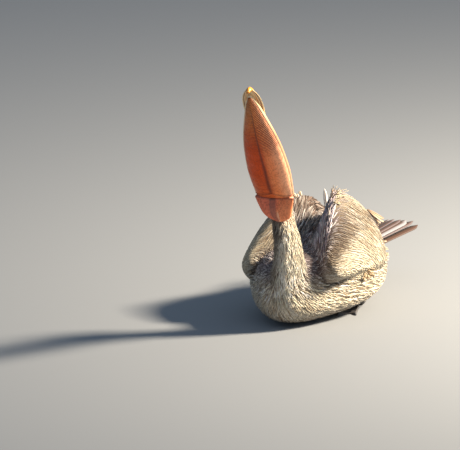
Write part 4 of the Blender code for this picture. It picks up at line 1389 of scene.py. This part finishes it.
# %% Standing feathers
# spot (x, back, z), spread of the roots, heading, bend, length, half width, colour, count
STANDING = (
    ((0.056, 0.270, 0.306), (0.016, 0.050, 0.004), (0.75, 0.35, 0.50), (0.45, 0.15, -0.55),
     0.019, 0.0044, (240, 224, 190), 22),
    ((0.044, 0.270, 0.304), (0.007, 0.030, 0.004), (-0.30, 0.30, 0.85), (0.50, 0.1, -0.30),
     0.021, 0.0048, (236, 208, 172), 10),
    ((-0.046, 0.310, 0.266), (0.030, 0.034, 0.004), (-0.55, 0.45, 0.62), (-0.2, 0.2, -0.3),
     0.016, 0.0042, (226, 202, 170), 26),
    ((0.000, 0.385, 0.215), (0.001, 0.001, 0.001), (-0.04, 0.03, 1.00), (-0.1, 0.1, -0.1),
     0.092, 0.0056, (246, 246, 248), 1),
    ((0.160, 0.250, 0.108), (0.005, 0.014, 0.007), (0.60, -0.30, 0.10), (-0.2, 0.5, -0.7),
     0.019, 0.0032, (214, 186, 146), 16),
    ((0.130, 0.460, 0.128), (0.008, 0.020, 0.026), (0.65, 0.60, 0.20), (0.0, 0.3, -0.7),
     0.011, 0.0032, (226, 206, 170), 10),
    ((0.084, 0.448, 0.232), (0.008, 0.012, 0.008), (-0.12, 0.93, -0.40), (0.0, 0.0, -0.06),
     0.175, 0.0084, (202, 170, 138), 6),
    ((-0.060, 0.490, 0.190), (0.010, 0.012, 0.006), (0.10, 0.96, -0.18), (0.0, 0.0, -0.08),
     0.155, 0.0088, (196, 168, 140), 6))
STAND_STATIONS, LONG, CLEARANCE = 12, 0.1, 0.008
STAND_CAMBER, STAND_THICKNESS = 0.18, 0.0009


def quill_width(t, blunt):
    """Half width along a big feather, as a share of its widest: quickly out from the shaft,
    slowly wider, and round over the last part, blunt, of its length."""
    return (0.35 + 0.65 * eased(t, 0.0, 0.35)) * np.sqrt(np.clip(1 - eased(
        t, 1 - blunt, 1.02) ** 2, 0.02, 1)) * (0.85 + 0.15 * t)


def standing_rows():
    """Spots, headings, bends, sizes and colours of the feathers of all the groups."""
    draw = np.random.default_rng(131)
    groups = []
    for spot, spread, heading, bend, length, half_width, colour, count in STANDING:
        stray = 0.05 if length > 0.07 else 0.24
        spots = np.array(spot) + np.array(spread) * draw.uniform(-1, 1, (count, 3))
        headings = unit(np.array(heading) + stray * draw.normal(size=(count, 3)))
        bends = np.array(bend) * draw.uniform(0.5, 1.2, (count, 1))
        sizes = np.array((length, half_width)) * draw.uniform(0.75, 1.15, (count, 2))
        tints = linear(colour) * draw.uniform(0.85, 1.1, (count, 1))
        groups.append((spots, headings, bends, sizes, tints))
    return [np.concatenate(column) for column in zip(*groups)]


spots, headings, bends, sizes, tints = standing_rows()
roots, root_normals, _, _ = nearest_on(skin_tree, spots)
t = np.linspace(0, 1, STAND_STATIONS)[None, :, None]
length, half_width = sizes[:, :1, None], sizes[:, 1:]
long_ones = length > LONG
stand_path = roots[:, None] + length * (headings[:, None] * t + 0.5 * bends[:, None] * t ** 2)
stand_path = stand_path + long_ones * root_normals[:, None] * CLEARANCE
outwards = unit(root_normals + np.sign(roots[:, :1]) * (0.5, 0.0, 0.0))
facing = np.where(long_ones, outwards[:, None], unit(root_normals * 0.2 - bends)[:, None])
stand_points = vanes(stand_path, facing, half_width * quill_width(t[..., 0], 0.30),
                     STAND_THICKNESS * (1 - 0.5 * t[..., 0]), QUILL_RING, STAND_CAMBER)
stand_finish = feather_finish("standing feathers", 0.80, 0.60, 0.65)
feather_piece("coat_standing", stand_points, STAND_STATIONS, QUILL_RING,
              np.full(len(roots), 0.45), np.clip(tints, 0, 1), chart_of("wing", roots),
              stand_finish)

# %% [markdown]
# ## Tail
# Ten stiff feathers in a half closed fan that is turned a little to the bird's left.
# Each is a quill from its root on the rump to its place on the fan's edge, pale on one side
# of its shaft and dark brown on the other, and the left ones lie over the right ones.

# %% Tail feathers
TAIL_ROOT, TAIL_LENGTH, TAIL_COUNT = np.array((0.0, 0.575, 0.109)), 0.247, 10
TAIL_RISE, TAIL_TURN, TAIL_SPLAY = math.radians(8.0), math.radians(7.5), math.radians(8.5)
QUILL_STATIONS, TAIL_THICKNESS, TAIL_HALF_WIDTH, TAIL_CAMBER = 18, 0.0016, 0.0112, 0.10
ROOTS_HALF_WIDTH, TAIL_DROOP, TAIL_STACK = 0.027, 0.019, 0.0030

place = np.linspace(-1, 1, TAIL_COUNT)
draw = np.random.default_rng(101)
turn = TAIL_TURN + TAIL_SPLAY * place + draw.normal(0, 0.012, TAIL_COUNT)
tail_length = TAIL_LENGTH * (0.84 + 0.12 * place) * draw.uniform(0.93, 1.03, TAIL_COUNT)
t = np.linspace(0, 1, QUILL_STATIONS)[None]
run = tail_length[:, None] * t
stack = TAIL_STACK + TAIL_STACK * place + 0.0006 * draw.normal(size=TAIL_COUNT)
x = ROOTS_HALF_WIDTH * place[:, None] + run * np.sin(turn)[:, None]
ahead = run * np.cos(turn)[:, None]
up_by = (-TAIL_DROOP * np.abs(place[:, None]) ** 2.6 + (stack[:, None] - 0.002)
         - 0.003 * t ** 2)
rise, level = math.sin(TAIL_RISE), math.cos(TAIL_RISE)
tail_path = np.stack((x, TAIL_ROOT[1] + ahead * level - up_by * rise,
                      TAIL_ROOT[2] + ahead * rise + up_by * level), axis=-1)
roll = 0.16 * place + draw.normal(0, 0.03, TAIL_COUNT)
roof = np.stack((np.sin(roll), -rise * np.cos(roll), level * np.cos(roll)),
                axis=-1)[:, None]
tail_half = TAIL_HALF_WIDTH * quill_width(t, 0.16) * draw.uniform(0.80, 1.20, (TAIL_COUNT, 1))
tail_half[-3] *= 1.4
tail_points = vanes(tail_path, roof, tail_half, TAIL_THICKNESS * (1 - 0.6 * t), QUILL_RING,
                    TAIL_CAMBER)
tail_brown = 0.12 + 0.45 * draw.random((TAIL_COUNT, 1)) ** 2
tail_brown[-3:, 0] = 0.0, 0.55, 0.9
tail_pale = np.where(np.arange(TAIL_COUNT)[:, None] == TAIL_COUNT - 3,
                     linear((122, 122, 134)), linear((122, 116, 126)))
tail_colour = tail_pale * (1 - tail_brown) + linear((84, 56, 42)) * tail_brown
tail_chart = np.stack((place * 0.45 + 0.5, np.full(TAIL_COUNT, 0.5)), axis=-1)
tail_finish = feather_finish("tail feathers", 0.95, 0.25, 0.55, web_share=0.92)
feather_piece("tail_fan", tail_points, QUILL_STATIONS, QUILL_RING,
              0.15 + 0.6 * tail_brown[:, 0], tail_colour, tail_chart, tail_finish,
              ["tail"])

# %% [markdown]
# ## Legs and feet
# Afloat, the legs trail under the belly. A pelican's foot has all four toes joined by webs.
# The toes and webs are one sheet worked out on a fan-shaped grid, thick along each toe and
# thin between, and the shank is a knobbed tube. Both are covered with small scales.

# %% Legs
LEG_SIDES = (("left", 1), ("right", -1))
HEEL, TOE_ROOT = np.array((0.082, 0.475, 0.012)), np.array((0.094, 0.372, 0.010))
SHANK_RADIUS, TOE_HEIGHT, WEB_HEIGHT, WEB_DIP = 0.0085, 0.010, 0.0045, 0.82
FLOOR_GAP = 0.0004
TOES = ((-16.0, 0.112), (6.0, 0.128), (30.0, 0.100), (72.0, 0.055))

scales = Finish("leg scales", Specular_IOR_Level=0.4)
scale_place = scales.place()
plates = scales.add("TexVoronoi", {"feature": "DISTANCE_TO_EDGE"},
                    {"Vector": scale_place, "Scale": 300.0})
leg_cloud = scales.noise(scale_place, 40.0)
leg_colour = scales.layers(
    srgb(92, 92, 98), (srgb(128, 120, 112), leg_cloud.eased(0.35, 0.65)),
    (srgb(46, 46, 52), plates.eased(0.0, 0.12, 0.8, 0.0)))
leg_material = scales.finish(leg_colour, roughness=leg_cloud.eased(0.3, 0.7, 0.45, 0.6),
                             height=plates.eased(0.0, 0.2), distance=0.0004)


def shank(side):
    """Tube from the heel to the toes, swollen at both joints; its floor side is flat."""
    u = np.linspace(0.0, 1.0, 40)[:, None]
    centre = HEEL + (TOE_ROOT - HEEL) * u
    knob = SHANK_RADIUS * (1.0 + 0.25 * np.cos(u * 2 * math.pi))
    knob = knob * np.clip(0.55 + u * 3, 0, 1) * np.clip(0.8 + (1 - u) * 1.5, 0, 1)
    cos, sin = power_circle(28)
    return np.stack((side * (centre[:, :1] + knob * cos), centre[:, 1:2] + 0 * cos,
                     np.maximum(centre[:, 2:] + knob * sin, FLOOR_GAP)), axis=-1)


def foot(side):
    """Fan of toes and webs, as rings across the foot: out over the top of each ray and back
    under it. A ray's height is a ridge on a toe and a thin web between two toes."""
    turns, reaches = np.array(TOES).T
    steps = 16
    place = np.linspace(0, len(TOES) - 1, (len(TOES) - 1) * steps + 1)[:, None]
    angle = np.radians(np.interp(place, range(len(TOES)), turns))
    on_toe = np.abs(np.cos(place * math.pi))
    reach = np.interp(place, range(len(TOES)), reaches)
    reach = reach * (WEB_DIP + (1 - WEB_DIP) * on_toe ** 3)
    grow = np.linspace(0.05, 1.0, 24)[None]
    knuckle = 1 + 0.16 * np.cos(grow * 3 * 2 * math.pi)
    high = WEB_HEIGHT + (TOE_HEIGHT - WEB_HEIGHT) * on_toe ** 5 * (1 - 0.5 * grow) * knuckle
    high = high * np.sqrt(np.clip((1.0 - grow) / 0.06, 0.12, 1))
    x = TOE_ROOT[0] - reach * grow * np.sin(angle)
    back = TOE_ROOT[1] - 0.011 - reach * grow * np.cos(angle)
    top, under = (np.stack((side * x, back, up + FLOOR_GAP), axis=-1)
                  for up in (high, 0 * high))
    return np.concatenate((top, under[:, ::-1]), axis=1)


for name, side in LEG_SIDES:
    tube_piece("shank_" + name, shank(side), leg_material, ["leg_" + name])
    tube_piece("webbed_foot_" + name, foot(side), leg_material,
               ["foot_" + name])

# %% [markdown]
# ## Eyes
# A pelican's eye is a deep ball with a pale iris and a round dark pupil, held by lids of
# bare yellowish skin. The ball is a tube of circles from pole to pole about its own outward
# axis, with the cornea bulging where it looks out, so its colours go by the distance from
# that axis.

# %% Eye finishes
EYE_F, EYE_S, EYE_T, EYE_RADIUS, LID_THICKNESS = 0.034, 0.0275, 0.052, 0.0085, 0.0022


def round_eye(side, height, wide, high, count):
    """Rings of count points about an eye's outward axis: height out along the axis, wide
    forward and back, and high up and down; and that axis."""
    out = unit(LEFT * side + 0.18 * FORWARD + 0.10 * CROWNWARD)
    ahead = unit(FORWARD - out * (FORWARD @ out))
    up = unit(np.cross(out, ahead)) * side
    angle = np.linspace(0, 2 * math.pi, count, endpoint=False)
    return (in_bill_frame(EYE_F, EYE_S * side, EYE_T) + height[..., None] * out
            + (wide * np.cos(angle))[..., None] * ahead
            + (high * np.sin(angle))[..., None] * up), out


iris = Finish("eye", Specular_IOR_Level=0.6, Coat_Weight=1.0, Coat_Roughness=0.02,
              Roughness=0.12)
ring_at = iris.mark("along")
eye_material = iris.finish(iris.layers(
    srgb(12, 10, 10), (srgb(226, 206, 150), ring_at.eased(0.155, 0.17)),
    (srgb(150, 96, 50), ring_at.eased(0.25, 0.31)),
    (srgb(60, 44, 38), ring_at.eased(0.33, 0.36))))

lid = Finish("eyelid skin", Specular_IOR_Level=0.4)
lid_grain = lid.noise(lid.place(), 700.0, detail=3.0)
lid_colour = lid.layers(
    srgb(226, 190, 132), (srgb(214, 150, 112), lid_grain.eased(0.35, 0.7)),
    (srgb(86, 66, 54), lid.mark("along").eased(0.86, 1.0)))
lid_material = lid.finish(lid_colour, roughness=lid_grain.eased(0.3, 0.7, 0.42, 0.58),
                          height=lid_grain, distance=0.0003)
print("finishes for the ball and the lids")


# %% Eyeballs and lids
def eyeball(side):
    """Circles of polar angle p about the outward axis, with a cornea that adds 7 percent of
    the radius where p is small; and p as a share of a half turn."""
    polar = np.linspace(0.02, math.pi - 0.02, 40)[:, None]
    radius = EYE_RADIUS * 0.97 * (1 + 0.07 * bell(polar, 0.42))
    reach = radius * np.sin(polar)
    rings, _ = round_eye(side, radius * np.cos(polar), reach, reach, 48)
    return rings, polar / math.pi


def lids(side):
    """Bare skin round the eye: rings from a wide almond on the cheek in to the lid's edge,
    which rolls over onto the ball and turns back in."""
    way, around = np.linspace(0, 1, 22)[:, None], 64
    stretch = 1 + 0.16 * np.abs(np.cos(np.arange(around) * 2 * math.pi / around)) ** 3
    spread = EYE_RADIUS * (1.75 - 1.13 * way) * (1 + 0.10 * bell(way - 0.78, 0.1))
    height = EYE_RADIUS * (0.10 + 0.62 * eased(way, 0.0, 0.85)
                           + 0.09 * bell(way - 0.84, 0.08) - 0.10 * eased(way, 0.9, 1.0))
    outer, out = round_eye(side, height, spread * stretch, spread * 0.92, around)
    rings = np.concatenate((outer, outer[-2::-1] - LID_THICKNESS * out), axis=0)
    return rings, np.concatenate((way, way[-2::-1]))


def ring_piece(name, rings, material, marks):
    """A tube joined end to end, such as a lid: its last ring is sewn to its first."""
    count, around = rings.shape[:2]
    here = np.arange(count * around).reshape(count, around)
    turn, below = np.roll(here, -1, axis=1), np.roll(here, -1, axis=0)
    quads = np.stack((here, turn, np.roll(turn, -1, axis=0), below), axis=-1).reshape(-1, 4)
    points, none = rings.reshape(-1, 3), np.empty((0, 3), int)
    if volume_of(points, quads, none) < 0:
        quads = quads[:, ::-1]
    flat_marks = {key: np.broadcast_to(values, (count, around)).ravel()
                  for key, values in marks.items()}
    new_piece(name, points, quads, none, material, marks=flat_marks)


for name, side in LEG_SIDES:
    ball, ball_way = eyeball(side)
    tube_piece("eyeball_" + name, ball, eye_material, ["eye_" + name],
               {"along": ball_way})
    lid_rings, lid_way = lids(side)
    ring_piece("lids_" + name, lid_rings, lid_material, {"along": lid_way})
